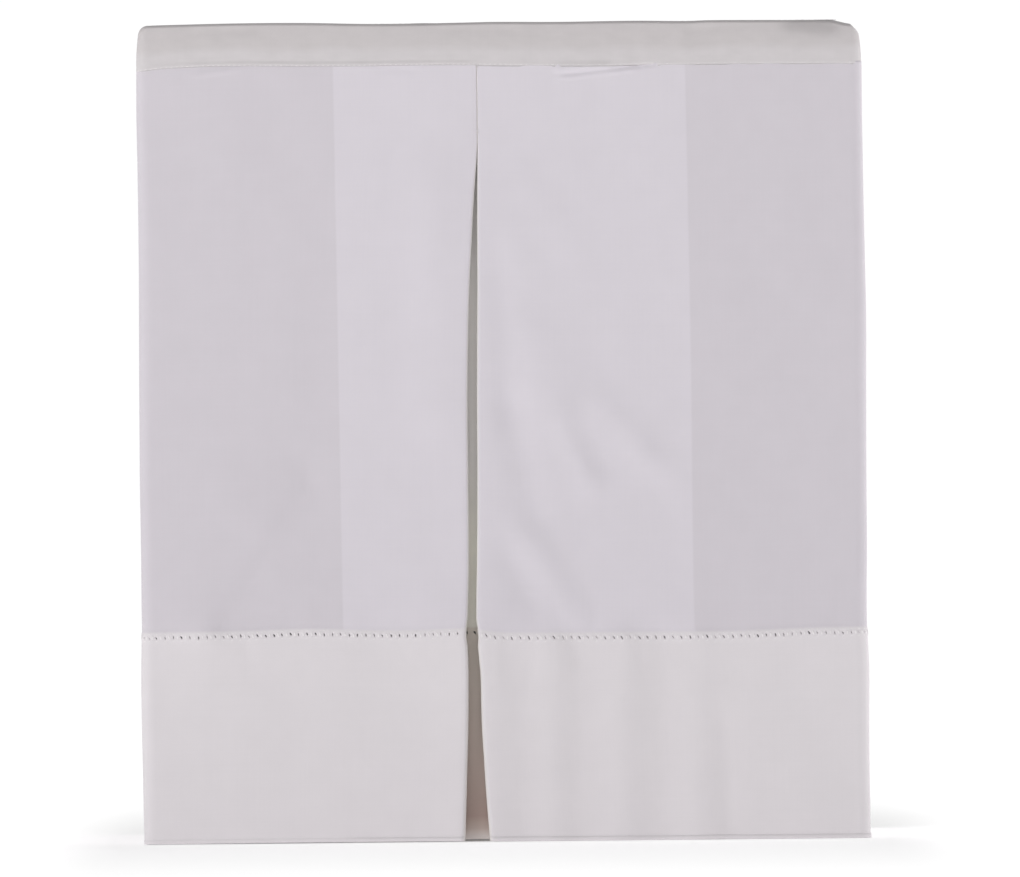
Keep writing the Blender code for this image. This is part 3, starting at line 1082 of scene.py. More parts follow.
@dataclass
class Drop:
    """The hanging cloth with its inverted pleat, its hemstitched hem and the thread work along it.

    A wave is its length and its rise. A reach is where a shade, such as a painted light or shade, starts and
    over what it grows, but the painted highlight's reach is the part of a fold's turn that the slit's painted
    highlight covers. The hem's painted shade inside the slit is its strength at the foot, and how much of
    that is lost up to the stitch row.
    """

    plan: SkirtPlan
    material: bpy.types.Material
    stitches: StitchRows
    cloth: float = 0.45 * MM
    hem_cloth: float = 0.9 * MM
    side_hem: float = 12.0 * MM
    pitch: float = 4.2 * MM
    hole_width: float = 0.92 * MM
    hole_height: float = 2.0 * MM
    hole_lean: float = radians(24)
    hole_jitter: float = 0.25
    hole_sizes: tuple[float, float] = (0.8, 1.1)
    hole_shift: float = 0.25 * MM
    rim_grow: float = 1.55
    rim_grow_up: float = 1.3
    bar: tuple[float, float, float] = (2.4 * MM, 0.85 * MM, 0.35 * MM)
    wrap: tuple[float, float, float] = (1.5 * MM, 0.36 * MM, 0.26 * MM)
    wrap_reach: float = 1.75 * MM
    cell_reach: float = 2.0 * MM
    rim_rise: float = 0.14 * MM
    tuck_share: float = 0.5
    tuck_height: float = 1.5 * MM
    crease_height: float = 2.0 * MM
    crease_blend: float = 0.35 * MM
    crease_depth: float = 0.45 * MM
    crease_faint: float = 0.35
    crease_faint_to: float = -82 * MM
    crease_grows_in: float = 10 * MM
    still_below_seam: float = 12 * MM
    front_wave: tuple[float, float] = (46 * MM, 0.5 * MM)
    side_wave: tuple[float, float] = (50 * MM, 0.4 * MM)
    # The part of a fold's turn that the painted highlight covers, and how fast it fades in and out.
    painted_highlight_reach: tuple[float, float] = (0.15, 0.7)
    painted_highlight_blend: float = 0.15
    shade_reach: float = 3.0
    # Where the painted light and shade on the pleat's inner layers starts behind the front, and how far it
    # grows.
    inside_reach: tuple[float, float] = (0.2, 0.3)
    # The share of the painted light and shade inside the pleat that is kept at the foot, and where it grows
    # to all of it.
    foot_shade: float = 0.35
    foot_reach: tuple[float, float] = (1.5 * MM, 6.0 * MM)
    # The painted light inside the pleat fades by this share higher up the slit.
    dim_share: float = 0.42
    dim_reach: tuple[float, float] = (145 * MM, 45 * MM)
    # The painted shade on the hem inside the slit: its strength at the foot, and how much of it is lost up to
    # the stitch row.
    hem_painted_shade: tuple[float, float] = (1.03, 0.64)

    def stretches(self) -> list[Stretch]:
        """The stretches of the path.

        Returns:
            The stretches, from the left rear, with an even number of strips where holes show.
        """
        return [
            Stretch("left side", Layer.SIDE, 96, True),
            Stretch("left corner", Layer.FRONT, 6, True),
            Stretch("left front", Layer.FRONT, 74, True),
            Stretch("left fold", Layer.BEHIND, 8, False),
            Stretch("left return", Layer.BEHIND, 9, False),
            Stretch("left return fold", Layer.BEHIND, 6, False),
            Stretch("underlay", Layer.BEHIND, 84, True),
            Stretch("right return fold", Layer.BEHIND, 6, False),
            Stretch("right return", Layer.BEHIND, 12, False),
            Stretch("right fold", Layer.BEHIND, 8, False),
            Stretch("right front", Layer.FRONT, 88, True),
            Stretch("right corner", Layer.FRONT, 6, True),
            Stretch("right side", Layer.SIDE, 96, True),
        ]

    def levels(self) -> tuple[Points, int]:
        """The rows up the flat cloth, closer together where it creases or folds.

        Returns:
            Their heights in metres, and the place among them of the stitch row.
        """
        stitch = self.plan.stitch_level / MM
        reach = self.cell_reach / MM
        hem = [0.0, 0.8, 1.65, 2.0, 2.35, 3.0, *np.linspace(5.4, 96.0, 16), 98.4]
        holes = [stitch - reach, stitch, stitch + reach]
        folded = np.linspace(110.0, 290.0, 34)
        smooth = np.linspace(298.0, 373.0, 10)
        tucked = np.linspace(378.7, 388.2, 12)
        body = [stitch + reach + 1.2, 107.6, *folded, *smooth, *tucked]
        return np.array([*hem, *holes, *body]) * MM, len(hem) + 1

    def place(self, stretch: Points, share: Points, level: Points, extra: Points) -> dict[str, Points]:
        """Where places of the flat cloth hang.

        Args:
            stretch: The number of the stretch that each place is in.
            share: How far along that stretch it is, from 0 to 1.
            level: Its height on the flat cloth, in metres.
            extra: How far it is lifted outwards there, in metres.

        Returns:
            The points, the way the cloth faces at each, and the values that the finish reads, among them the
            painted light, shade and highlight of the slit.
        """
        plan = self.plan
        thick = np.where(level < plan.stitch_level, self.hem_cloth, self.cloth)
        cut = plan.drop_plan(level, thick)
        across = np.zeros(len(level))
        deep = np.zeros(len(level))
        behind = np.zeros(len(level))
        rims = np.zeros(len(level))
        on_side = np.zeros(len(level), bool)
        for number, part in enumerate(self.stretches()):
            here = stretch == number
            x, y = cut[part.name].at(share)
            across[here] = np.broadcast_to(x, share.shape)[here]
            deep[here] = np.broadcast_to(y, share.shape)[here]
            on_side[here] = part.layer is Layer.SIDE
            if part.layer is Layer.BEHIND:
                behind[here] = grown(deep[here], plan.front, plan.underlay_depth)
            # A painted highlight along each of the slit's fold edges.
            if part.name in ("left fold", "right fold"):
                turned = share[here] if part.name == "left fold" else 1.0 - share[here]
                begun = grown(turned, self.painted_highlight_reach[0], self.painted_highlight_blend)
                rims[here] = begun * grown(-turned, -self.painted_highlight_reach[1], self.painted_highlight_blend)
        height = plan.height(level, across, behind)
        out_x, out_y = plan.outward(across, deep)
        lift = self._lift(across, deep, height, behind, on_side, out_x) + extra
        to_seam = grown(level, plan.seam_level - self.tuck_height, self.tuck_height)
        tuck = self.tuck_share * along_table(SEAM_SWELL, "across", "proud", across)
        lift = lift - tuck * to_seam**2 * (1.0 - behind)
        crease = grown(-level, -self.crease_height, self.crease_blend)
        strong = np.clip((across - self.crease_faint_to) / self.crease_grows_in, self.crease_faint, 1.0)
        lift = lift + self.crease_depth * crease * strong * (1.0 - behind)
        points = np.stack([across + out_x * lift, deep + out_y * lift, height], axis=1)
        facing = np.stack([out_x, out_y, np.zeros(len(level))], axis=1)
        from_return = np.minimum(
            across - along_table(RETURNS, "height", "left", level),
            along_table(RETURNS, "height", "right", level) - across,
        )
        backed = np.clip(0.5 + from_return / MM, -self.shade_reach, self.shade_reach)
        backed = np.where(on_side, -self.shade_reach, backed)
        in_hem = level < plan.stitch_level + self.cell_reach + 0.1 * MM
        # Painted light and shade on the pleat's inner layers, seen through the slit.
        inside = grown(behind, *self.inside_reach)
        foot = self.foot_shade + (1.0 - self.foot_shade) * grown(level, *self.foot_reach)
        # How strong the painted shade on the hem inside the slit is, from the foot up.
        depth = np.minimum(self.hem_painted_shade[0] - self.hem_painted_shade[1] * level / plan.stitch_level, 1.0)
        dim = self.dim_share * grown(level, *self.dim_reach)
        return {
            "points": points,
            "facing": facing,
            "layers": backed,
            "hems": np.where(in_hem | (deep > plan.back - self.side_hem), 1.0, 0.0),
            "inside": inside * foot * (1.0 - dim),
            "inside_hems": inside * foot * depth * in_hem,
            "rims": rims,
        }

    def _lift(
        self, across: Points, deep: Points, height: Points, behind: Points, on_side: Points, out_x: Points
    ) -> Points:
        """How far the folds, ripples and sway lift the cloth outwards.

        Args:
            across: Places across the plan, in metres.
            deep: Places from front to back on it, in metres.
            height: Their heights, in metres.
            behind: How far each is from the front to the underlay, from 0 to 1.
            on_side: Whether each is on a side.
            out_x: How far the cloth faces right there, from -1 to 1.

        Returns:
            The lift at each place, in metres.
        """
        plan = self.plan
        below_seam = grown(-height, -plan.seam_level, self.still_below_seam)
        front = fold_relief(MAIN_FOLDS + SEAM_PUCKERS + HEM_PUCKERS, across, height)
        front = front + soft_waves(across, height, 5, *self.front_wave) * below_seam
        front = front * (1.0 - (1.0 - plan.underlay_relief) * behind) * (1.0 - np.abs(out_x))
        side = fold_relief(SIDE_FOLDS, deep, height)
        side = side + soft_waves(deep, height, 8, *self.side_wave) * below_seam
        left, right = (along_table(SIDE_SWAY, "height", name, height) for name in ("left", "right"))
        sway = np.where(across < 0, left, right) * np.abs(out_x)
        return np.where(on_side, side, front) + sway

    def build(self) -> bpy.types.Object:
        """Makes the cloth as one sheet.

        Returns:
            The cloth, with real holes along its stitch row.
        """
        levels, middle = self.levels()
        grid = self._grid(levels)
        columns, rows = len(grid["stretch"]), len(levels)
        stretch = np.repeat(grid["stretch"], rows)
        share = np.repeat(grid["share"], rows)
        level = np.tile(levels, columns)
        along = np.repeat(grid["along"], rows)
        faces = []
        in_cell = np.zeros((columns - 1, rows - 1), bool)
        for first in grid["cells"]:
            in_cell[first : first + 2, middle - 1 : middle + 1] = True
        for c in range(columns - 1):
            for r in range(rows - 1):
                if not in_cell[c, r]:
                    low = c * rows + r
                    faces.append((low, low + rows, low + rows + 1, low + 1))
        rings = self._hole_rings(grid, levels, middle, rows)
        start = len(level)
        stretch = np.concatenate([stretch, rings["stretch"]])
        share = np.concatenate([share, rings["share"]])
        level = np.concatenate([level, rings["level"]])
        along = np.concatenate([along, rings["along"]])
        extra = np.concatenate([np.zeros(start), rings["extra"]])
        opened = []
        for number, edge in enumerate(rings["edges"]):
            rim = [start + 16 * number + k for k in range(8)]
            hole = [k + 8 for k in rim]
            for outer, inner in ((edge, rim), (rim, hole)):
                faces += [(outer[k], outer[(k + 1) % 8], inner[(k + 1) % 8], inner[k]) for k in range(8)]
            opened.append(tuple(hole))
        holes_from = len(faces)
        faces += opened
        placed = self.place(stretch, share, level, extra)
        used = np.zeros(len(level), bool)
        for face in faces:
            used[list(face)] = True
        renumber = np.cumsum(used) - 1
        faces = [tuple(int(renumber[k]) for k in face) for face in faces]
        mesh = bpy.data.meshes.new("drop_cloth")
        mesh.from_pydata(placed["points"][used].tolist(), [], faces)
        mesh.shade_smooth()
        for name in ("layers", "hems", "inside", "inside_hems", "rims"):
            add_point_values(mesh, name, placed[name][used])
        add_cloth_uv(mesh, along[used], level[used])
        marked = mesh.attributes.new("hole", "BOOLEAN", "FACE")
        marked.data.foreach_set("value", np.arange(len(faces)) >= holes_from)
        cloth = self._open_holes(mesh_object("drop_cloth", mesh))
        thicken(cloth, self.hem_cloth, "hems", self.cloth / self.hem_cloth)
        return cloth

    def _grid(self, levels: Points) -> dict[str, Points]:
        """The columns of the cloth.

        Args:
            levels: The rows up it, in metres.

        Returns:
            For each column its stretch, its share of that and its place along the cloth, and the
            first column of each cell that holds a hole.
        """
        stretch, share, cells = [], [], []
        parts = self.stretches()
        for number, part in enumerate(parts):
            if part.holes:
                cells += range(len(stretch), len(stretch) + part.strips, 2)
            stretch += [number] * part.strips
            share += [k / part.strips for k in range(part.strips)]
        stretch.append(len(parts) - 1)
        share.append(1.0)
        stretch, share = np.array(stretch), np.array(share)
        middle = np.full(len(share), levels[len(levels) // 2])
        points = self.place(stretch, share, middle, np.zeros(len(share)))["points"]
        lengths = np.linalg.norm(np.diff(points, axis=0), axis=1)
        return {
            "stretch": stretch,
            "share": share,
            "along": np.concatenate([[0.0], np.cumsum(lengths)]),
            "cells": cells,
        }

    def _hole_rings(self, grid: dict, levels: Points, middle: int, rows: int) -> dict[str, Points]:
        """The rim and edge of each hole, eight points each, uneven as hand-fed machine work is.

        Args:
            grid: The columns of the cloth.
            levels: The rows up it, in metres.
            middle: The place of the stitch row among them.
            rows: The number of rows.

        Returns:
            The stretch, share, level, place along and extra lift of every point, and the vertices
            round each cell.
        """
        rng = np.random.RandomState(21)
        parts = self.stretches()
        found = {"stretch": [], "share": [], "level": [], "along": [], "extra": [], "edges": []}
        angles = np.radians([-135, -90, -45, 0, 45, 90, 135, 180])
        for first in grid["cells"]:
            centre = first + 1
            strips = parts[grid["stretch"][centre]].strips
            cell_width = grid["along"][first + 2] - grid["along"][first]
            lean = self.hole_lean + rng.uniform(-self.hole_jitter, self.hole_jitter)
            size = rng.uniform(*self.hole_sizes)
            fit = min(1.0, cell_width / self.pitch)
            shift = rng.uniform(-1.0, 1.0, 2) * self.hole_shift
            for grow, rise in ((self.rim_grow, self.rim_rise), (1.0, 0.0)):
                u = np.cos(angles) * self.hole_width / 2 * size * grow * fit
                v = np.sin(angles) * self.hole_height / 2 * min(grow, self.rim_grow_up) * (0.5 + 0.5 * size)
                u, v = u * cos(lean) + v * -sin(lean), u * sin(lean) + v * cos(lean)
                u, v = u + shift[0] * fit, v + shift[1]
                found["stretch"].append(np.full(8, grid["stretch"][centre]))
                found["share"].append(grid["share"][centre] + u / cell_width * 2 / strips)
                found["level"].append(levels[middle] + v)
                found["along"].append(grid["along"][centre] + u)
                found["extra"].append(np.full(8, rise))
            low, mid, high = (middle + k for k in (-1, 0, 1))
            corners = ((0, low), (1, low), (2, low), (2, mid), (2, high), (1, high), (0, high), (0, mid))
            found["edges"].append([(first + c) * rows + r for c, r in corners])
        return {name: values if name == "edges" else np.concatenate(values) for name, values in found.items()}

    def _open_holes(self, cloth: bpy.types.Object) -> bpy.types.Object:
        """Punches the marked faces out of the cloth.

        Args:
            cloth: The cloth.

        Returns:
            The cloth with its holes and its material.
        """
        builder = TreeBuilder("holes of the stitch row")
        thread = builder.input("Material", "NodeSocketMaterial")
        marked = builder.node("GeometryNodeInputNamedAttribute", {"Name": "hole"}, data_type="BOOLEAN")
        opened = builder.node(
            "GeometryNodeDeleteGeometry",
            {"Geometry": builder.start.outputs["Geometry"], "Selection": marked.outputs[0]},
            domain="FACE",
        )
        builder.finish(opened.outputs[0], "Material")
        return apply_tree(cloth, builder, {thread: self.material})

    def row_path(
        self, names: list[str], level: float, proud: float, half_cell: bool
    ) -> tuple[Points, Points]:
        """A path on the cloth with one point for each hole.

        Args:
            names: The stretches that it runs along.
            level: Its height on the flat cloth, in metres.
            proud: How far it stands off the middle of the cloth, in metres.
            half_cell: Whether the points lie at the holes, not between them.

        Returns:
            The points and the way the cloth faces at each.
        """
        stretch, share = [], []
        for number, part in enumerate(self.stretches()):
            if part.name in names:
                holes = part.strips // 2
                shift = 0.5 if half_cell else 0.0
                stretch += [number] * holes
                share += [(k + shift) / holes for k in range(holes)]
        count = len(share)
        placed = self.place(np.array(stretch), np.array(share), np.full(count, level), np.full(count, proud))
        return placed["points"], placed["facing"]

    def sew_row(self) -> list[bpy.types.Object]:
        """The thread work of the stitch row.

        Returns:
            The bars between the holes, and the slanted wraps above and below them.
        """
        left = ["left side", "left corner", "left front"]
        right = ["right front", "right corner", "right side"]
        runs = (left, right, ["underlay"])
        stitch = self.plan.stitch_level
        proud = self.hem_cloth / 2
        bars = self.stitches.sew(
            "hemstitch_bars",
            [self.row_path(names, stitch, proud, False) for names in runs],
            self.bar,
            lean=radians(96),
            jitter=radians(12),
            seed=3,
        )
        rows = (("above", self.wrap_reach, -24, 4), ("below", -self.wrap_reach, 20, 5))
        wraps = [
            self.stitches.sew(
                "hemstitch_wraps_" + side,
                [self.row_path(names, stitch + reach, proud, True) for names in runs],
                self.wrap,
                lean=radians(lean),
                jitter=radians(10),
                seed=seed,
            )
            for side, reach, lean, seed in rows
        ]
        return [bars, *wraps]


@dataclass
class EdgeSewing:
    """The machine stitches along the seam, the deck's edge and the rear hems, and the pleat's tacks."""

    plan: SkirtPlan
    stitches: StitchRows
    drop: Drop
    inset: float = 12.3 * MM
    proud: float = 0.28 * MM
    thread: float = 0.3 * MM
    sunk: float = 0.08 * MM
    sinks_in: float = 20 * MM
    seam_steps: int = 60
    deck_steps: int = 40

    def seam(self) -> bpy.types.Object:
        """Short stitches that show along the fold of the seam.

        Returns:
            The stitches.
        """
        across, deep = [], []
        for part in self.plan.band_plan().values():
            x, y = part.at(np.linspace(0.0, 1.0, self.seam_steps + 1)[:-1])
            across.append(x)
            deep.append(y)
        across, deep = np.concatenate(across), np.concatenate(deep)
        out_x, out_y = self.plan.outward(across, deep)
        sunk = self.sunk * (1.0 + grown(across, 0.0, self.sinks_in))
        out = self.proud - sunk + along_table(SEAM_SWELL, "across", "proud", across)
        height = along_table(FRONT_LINES, "across", "seam", across) + 0.05 * MM
        out = out + fold_relief(SEAM_PUCKERS, across, height) * np.abs(out_y)
        path = np.stack([across + out_x * out, deep + out_y * out, height], axis=1)
        facing = np.stack([out_x, out_y, 0.0 * out_x], axis=1)
        size = (1.5 * MM, 0.24 * MM, 0.24 * MM)
        return self.stitches.sew("seam_stitches", [(path, facing)], size, pitch=2.6 * MM)

    def deck_edge(self) -> bpy.types.Object:
        """The line of stitches that joins the band to the deck.

        Returns:
            The stitches.
        """
        half = self.plan.half_width - self.inset
        front = self.plan.front + self.inset
        height = self.plan.top - 0.1 * MM
        corners = [(-half, self.plan.back), (-half, front), (half, front), (half, self.plan.back)]
        path = along_lines(corners, self.deck_steps)
        path = np.column_stack([path, np.full(len(path), height)])
        facing = np.tile((0.0, 0.0, 1.0), (len(path), 1))
        size = (2.2 * MM, 0.4 * MM, self.thread)
        return self.stitches.sew("deck_stitches", [(path, facing)], size, pitch=3.0 * MM)

    def rear_hems(self) -> bpy.types.Object:
        """The stitches of the narrow hems at the drop's two rear edges.

        Returns:
            The stitches.
        """
        parts = [part.name for part in self.drop.stretches()]
        deep = self.plan.back - self.plan.turn_in
        share = (self.drop.side_hem - 1.5 * MM) / deep
        levels = np.linspace(3.0, 384.0, 90) * MM
        paths = []
        for name, at in (("left side", share), ("right side", 1.0 - share)):
            count = len(levels)
            placed = self.drop.place(
                np.full(count, parts.index(name)), np.full(count, at), levels, np.full(count, 0.45 * MM)
            )
            paths.append((placed["points"], placed["facing"]))
        size = (2.0 * MM, 0.4 * MM, self.thread)
        return self.stitches.sew("side_hem_stitches", paths, size, pitch=2.8 * MM)

    def tacks(self) -> bpy.types.Object:
        """The bar tacks that hold the pleat at its head and where it opens.

        Returns:
            The two tacks, as one piece.
        """
        paths = []
        for low, high in ((385.6, 387.6), (353.4, 354.6)):
            height = np.linspace(low, high, 5) * MM
            across = np.full(len(height), self.plan.pleat_middle)
            deep = np.full(len(height), self.plan.front - self.proud - 0.1 * MM)
            facing = np.tile((0.0, -1.0, 0.0), (len(height), 1))
            paths.append((np.stack([across, deep, height], axis=1), facing))
        size = (1.4 * MM, 0.35 * MM, 0.35 * MM)
        return self.stitches.sew(
            "pleat_tacks", paths, size, pitch=0.5 * MM, lean=radians(90), jitter=radians(14)
        )


@dataclass
class TopBand:
    """The strip that turns over the block's top edge on three sides, with its seam to the drop.

    A turn over the top edge is how far in it goes and how high it is. A wave is its length and its
    rise. The blend is the distance over which one form or shade gives way to another.
    """

    plan: SkirtPlan
    material: bpy.types.Material
    cloth: float = 0.5 * MM
    front_turn: tuple[float, float] = (4.0 * MM, 1.5 * MM)
    left_turn: tuple[float, float] = (4.2 * MM, 5.0 * MM)
    right_turn: tuple[float, float] = (12.4 * MM, 6.0 * MM)
    lean_left: float = 0.8 * MM
    lean_right: float = 0.9 * MM
    rise: float = 0.5 * MM
    inset: float = 13.5 * MM
    allowance: float = 8.0 * MM
    roll_height: float = 1.7 * MM
    top_sunk: float = 0.3 * MM
    tightest: float = 0.8 * MM
    wave: tuple[float, float] = (24 * MM, 0.3 * MM)
    edge_wave: tuple[float, float] = (40 * MM, 1.2 * MM)
    blend: float = 4 * MM
    shade_reach: float = 3.0
    row_height: float = 1.5 * MM
    side_strips: int = 50
    corner_strips: int = 14
    front_strips: int = 150
    upright_rows: int = 24
    turn_rows: int = 10
    top_rows: int = 4

    def profile(self, across: Points, on_side: Points) -> tuple[list[Points], list[Points]]:
        """The band cut across at places of its length, from seam to deck.

        Args:
            across: Places across the front, in metres.
            on_side: How far each is turned to a side, from 0 to 1.

        Returns:
            How far in each row of points lies, and its height.
        """
        plan = self.plan
        seam = along_table(FRONT_LINES, "across", "seam", across)
        swell = along_table(SEAM_SWELL, "across", "proud", across)
        dip = along_table(FRONT_LINES, "across", "dip", across)
        to_right = 0.5 + 0.5 * across / plan.half_width
        turns = zip(self.left_turn, self.right_turn)
        side_turn = [np.where(across < 0, left, right) for left, right in turns]
        wide, high = (front + (side - front) * on_side for front, side in zip(self.front_turn, side_turn))
        lean = self.lean_left + (self.lean_right - self.lean_left) * to_right
        top = plan.top + self.rise - dip
        insets = [row.inset * MM - row.swell_share * swell for row in SEAM_ROLL]
        heights = [seam + row.height * MM for row in SEAM_ROLL]
        rest = seam + self.roll_height
        upright_top = top - high
        for k in range(self.upright_rows + 1):
            share = k / self.upright_rows
            insets.append(lean * share**2)
            heights.append(rest + share * (upright_top - rest))
        for k in range(1, self.turn_rows + 1):
            angle = pi / 2 * k / self.turn_rows
            insets.append(lean + wide * (1 - cos(angle)))
            heights.append(upright_top + high * sin(angle))
        edge, brink = insets[-1], heights[-1]
        for k in range(1, self.top_rows + 1):
            share = k / self.top_rows
            insets.append(edge + (self.inset - edge) * share)
            heights.append(brink + (plan.top - self.top_sunk - brink) * share)
        return insets, heights

    def path(self) -> tuple[Points, Points]:
        """The plan points that the band follows.

        Returns:
            Their places across the plan and from front to back, in metres.
        """
        across, deep = [], []
        counts = {"side": self.side_strips, "corner": self.corner_strips, "front": self.front_strips}
        for name, part in self.plan.band_plan().items():
            strips = counts[name.split()[-1]]
            x, y = part.at(np.linspace(0.0, 1.0, strips + 1)[:-1])
            across.append(x)
            deep.append(y)
        across.append(np.array([self.plan.half_width]))
        deep.append(np.array([self.plan.back]))
        return np.concatenate(across), np.concatenate(deep)

    def _drawn_in(
        self, across: Points, deep: Points, out_x: Points, out_y: Points, inset: Points
    ) -> tuple[Points, Points]:
        """The plan drawn in by an inset, with a corner that grows tighter and never turns over.

        Args:
            across: Places across the plan, in metres.
            deep: Places from front to back on it, in metres.
            out_x: How far the band faces right there, from -1 to 1.
            out_y: How far it faces back there, from -1 to 1.
            inset: How far each place is drawn in, in metres.

        Returns:
            The new places across and from front to back, in metres.
        """
        plan = self.plan
        radius = np.maximum(plan.corner_radius - inset, self.tightest)
        shift = radius - plan.corner_radius + inset
        depth = plan.back - plan.turn_in
        core_x = np.clip(across, -plan.inner, plan.inner) * (plan.inner - shift) / plan.inner
        core_y = plan.back - (plan.back - np.maximum(deep, plan.turn_in)) * (depth - shift) / depth
        return core_x + out_x * radius, core_y + out_y * radius

    def build(self) -> bpy.types.Object:
        """Makes the band as one sheet.

        Returns:
            The band.
        """
        across, deep = self.path()
        out_x, out_y = self.plan.outward(across, deep)
        insets, heights = self.profile(across, np.abs(out_x))
        columns, rows = len(across), len(insets)
        inset = np.stack(insets, axis=1)
        height = np.stack(heights, axis=1)
        wide = np.repeat(across[:, None], rows, axis=1)
        back = np.repeat(deep[:, None], rows, axis=1)
        above_seam = height - along_table(FRONT_LINES, "across", "seam", wide)
        relief = fold_relief(BAND_FOLDS, wide, height) * np.abs(out_y)[:, None]
        relief = relief + soft_waves(wide + back, height, 12, *self.wave)
        puckers = fold_relief(SEAM_PUCKERS, wide, height) * np.abs(out_y)[:, None]
        rising = grown(above_seam, 0.0, self.blend)
        settled = grown(-inset, -self.inset, self.blend)
        inset = inset - (relief * rising + puckers * (1.0 - rising)) * settled
        boundary = self.allowance + soft_waves(wide, 0.0 * wide, 14, *self.edge_wave)
        allowance = (boundary - above_seam) / self.blend + 0.5
        allowance = np.clip(allowance, -self.shade_reach, self.shade_reach)
        x, y = self._drawn_in(wide, back, out_x[:, None], out_y[:, None], inset)
        mesh = cloth_mesh("band_cloth", np.stack([x, y, height], axis=2), self.material)
        along = np.concatenate([[0.0], np.cumsum(np.hypot(np.diff(across), np.diff(deep)))])
        up = np.cumsum(np.full(rows, self.row_height))
        add_cloth_uv(mesh, np.repeat(along, rows), np.tile(up, columns))
        add_point_values(mesh, "layers", allowance.ravel())
        band = mesh_object("band_cloth", mesh)
        thicken(band, self.cloth)
        return band


@dataclass
class Deck:
    """The flat platform cloth on the block's top."""

    plan: SkirtPlan
    material: bpy.types.Material
    inset: float = 13.4 * MM
    sunk: float = 0.25 * MM
    cloth: float = 0.5 * MM
    wrinkle: tuple[float, float] = (60 * MM, 2.4 * MM)
    flat_edge: float = 20 * MM
    strips: int = 90
    rows: int = 54

    def build(self) -> bpy.types.Object:
        """Makes the deck as one sheet.

        Returns:
            The deck, with faint wrinkles that die away at its edges.
        """
        plan = self.plan
        half = plan.half_width - self.inset
        across = np.linspace(-half, half, self.strips + 1)
        deep = np.linspace(plan.front + self.inset, plan.back, self.rows + 1)
        x, y = np.meshgrid(across, deep, indexing="ij")
        to_edge = np.minimum(half - np.abs(x), y - deep[0])
        edge = np.minimum(to_edge, self.flat_edge) / self.flat_edge
        wrinkles = np.maximum(soft_waves(x, y, 31, *self.wrinkle), 0.0)
        z = plan.top - self.sunk + edge * wrinkles
        mesh = cloth_mesh("deck_cloth", np.stack([x, y, z], axis=2), self.material)
        add_cloth_uv(mesh, x.ravel(), y.ravel())
        deck = mesh_object("deck_cloth", mesh)
        thicken(deck, self.cloth)
        return deck


@dataclass
class BaseBlock:
    """The upholstered bed base block, soft at its upright and top edges and flat at its foot."""

    material: bpy.types.Material
    rounding: float = 14.0 * MM
    cuts: int = 34

    def build(self) -> bpy.types.Object:
        """Makes the block in the space of its solid.

        Returns:
            The block.
        """
        low, high = (np.array(corner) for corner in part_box("base_block"))
        shape = bmesh.new()
        bmesh.ops.create_cube(shape, size=1.0)
        bmesh.ops.subdivide_edges(shape, edges=shape.edges[:], cuts=self.cuts, use_grid_fill=True)
        inner_low = low + self.rounding * np.array([1, 1, 0])
        inner_high = high - self.rounding
        for vertex in shape.verts:
            share = 0.5 - 0.5 * np.cos(pi * (np.array(vertex.co) + 0.5))
            point = low + (high - low) * share
            core = np.clip(point, inner_low, inner_high)
            away = point - core
            length = np.linalg.norm(away)
            if length > 0:
                point = core + away / length * self.rounding
            vertex.co = point
        mesh = bpy.data.meshes.new("block_upholstery")
        shape.normal_update()
        shape.to_mesh(mesh)
        shape.free()
        mesh.shade_smooth()
        mesh.materials.append(self.material)
        count = len(mesh.vertices)
        co = np.zeros(count * 3, np.float32)
        mesh.vertices.foreach_get("co", co)
        co = co.reshape(-1, 3)
        add_cloth_uv(mesh, co[:, 0] + co[:, 1], co[:, 2] + co[:, 1])
        return mesh_object("block_upholstery", mesh)


def block_seams(stitches: StitchRows, margin: float, foot: float) -> bpy.types.Object:
    """The stitched edges of the block's plain back panel.

    Args:
        stitches: What sews them.
        margin: How far in from the block's edges they run, in metres.
        foot: Where they start above the floor, in metres.

    Returns:
        The stitches.
    """
    low, high = (np.array(corner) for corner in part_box("base_block"))
    corners = [
        (low[0] + margin, foot),
        (low[0] + margin, high[2] - margin),
        (high[0] - margin, high[2] - margin),
        (high[0] - margin, foot),
    ]
    flat = along_lines(corners, 60)
    path = np.column_stack([flat[:, 0], np.full(len(flat), high[1] + 0.05 * MM), flat[:, 1]])
    facing = np.tile((0.0, 1.0, 0.0), (len(path), 1))
    size = (3.2 * MM, 0.5 * MM, 0.3 * MM)
    return stitches.sew("block_stitches", [(path, facing)], size, pitch=4.6 * MM)


class Lamp(NamedTuple):
    """A soft square light: how far round from the front and up it stands (degrees), and its power (W)."""

    name: str
    around: float
    up: float
    power: float


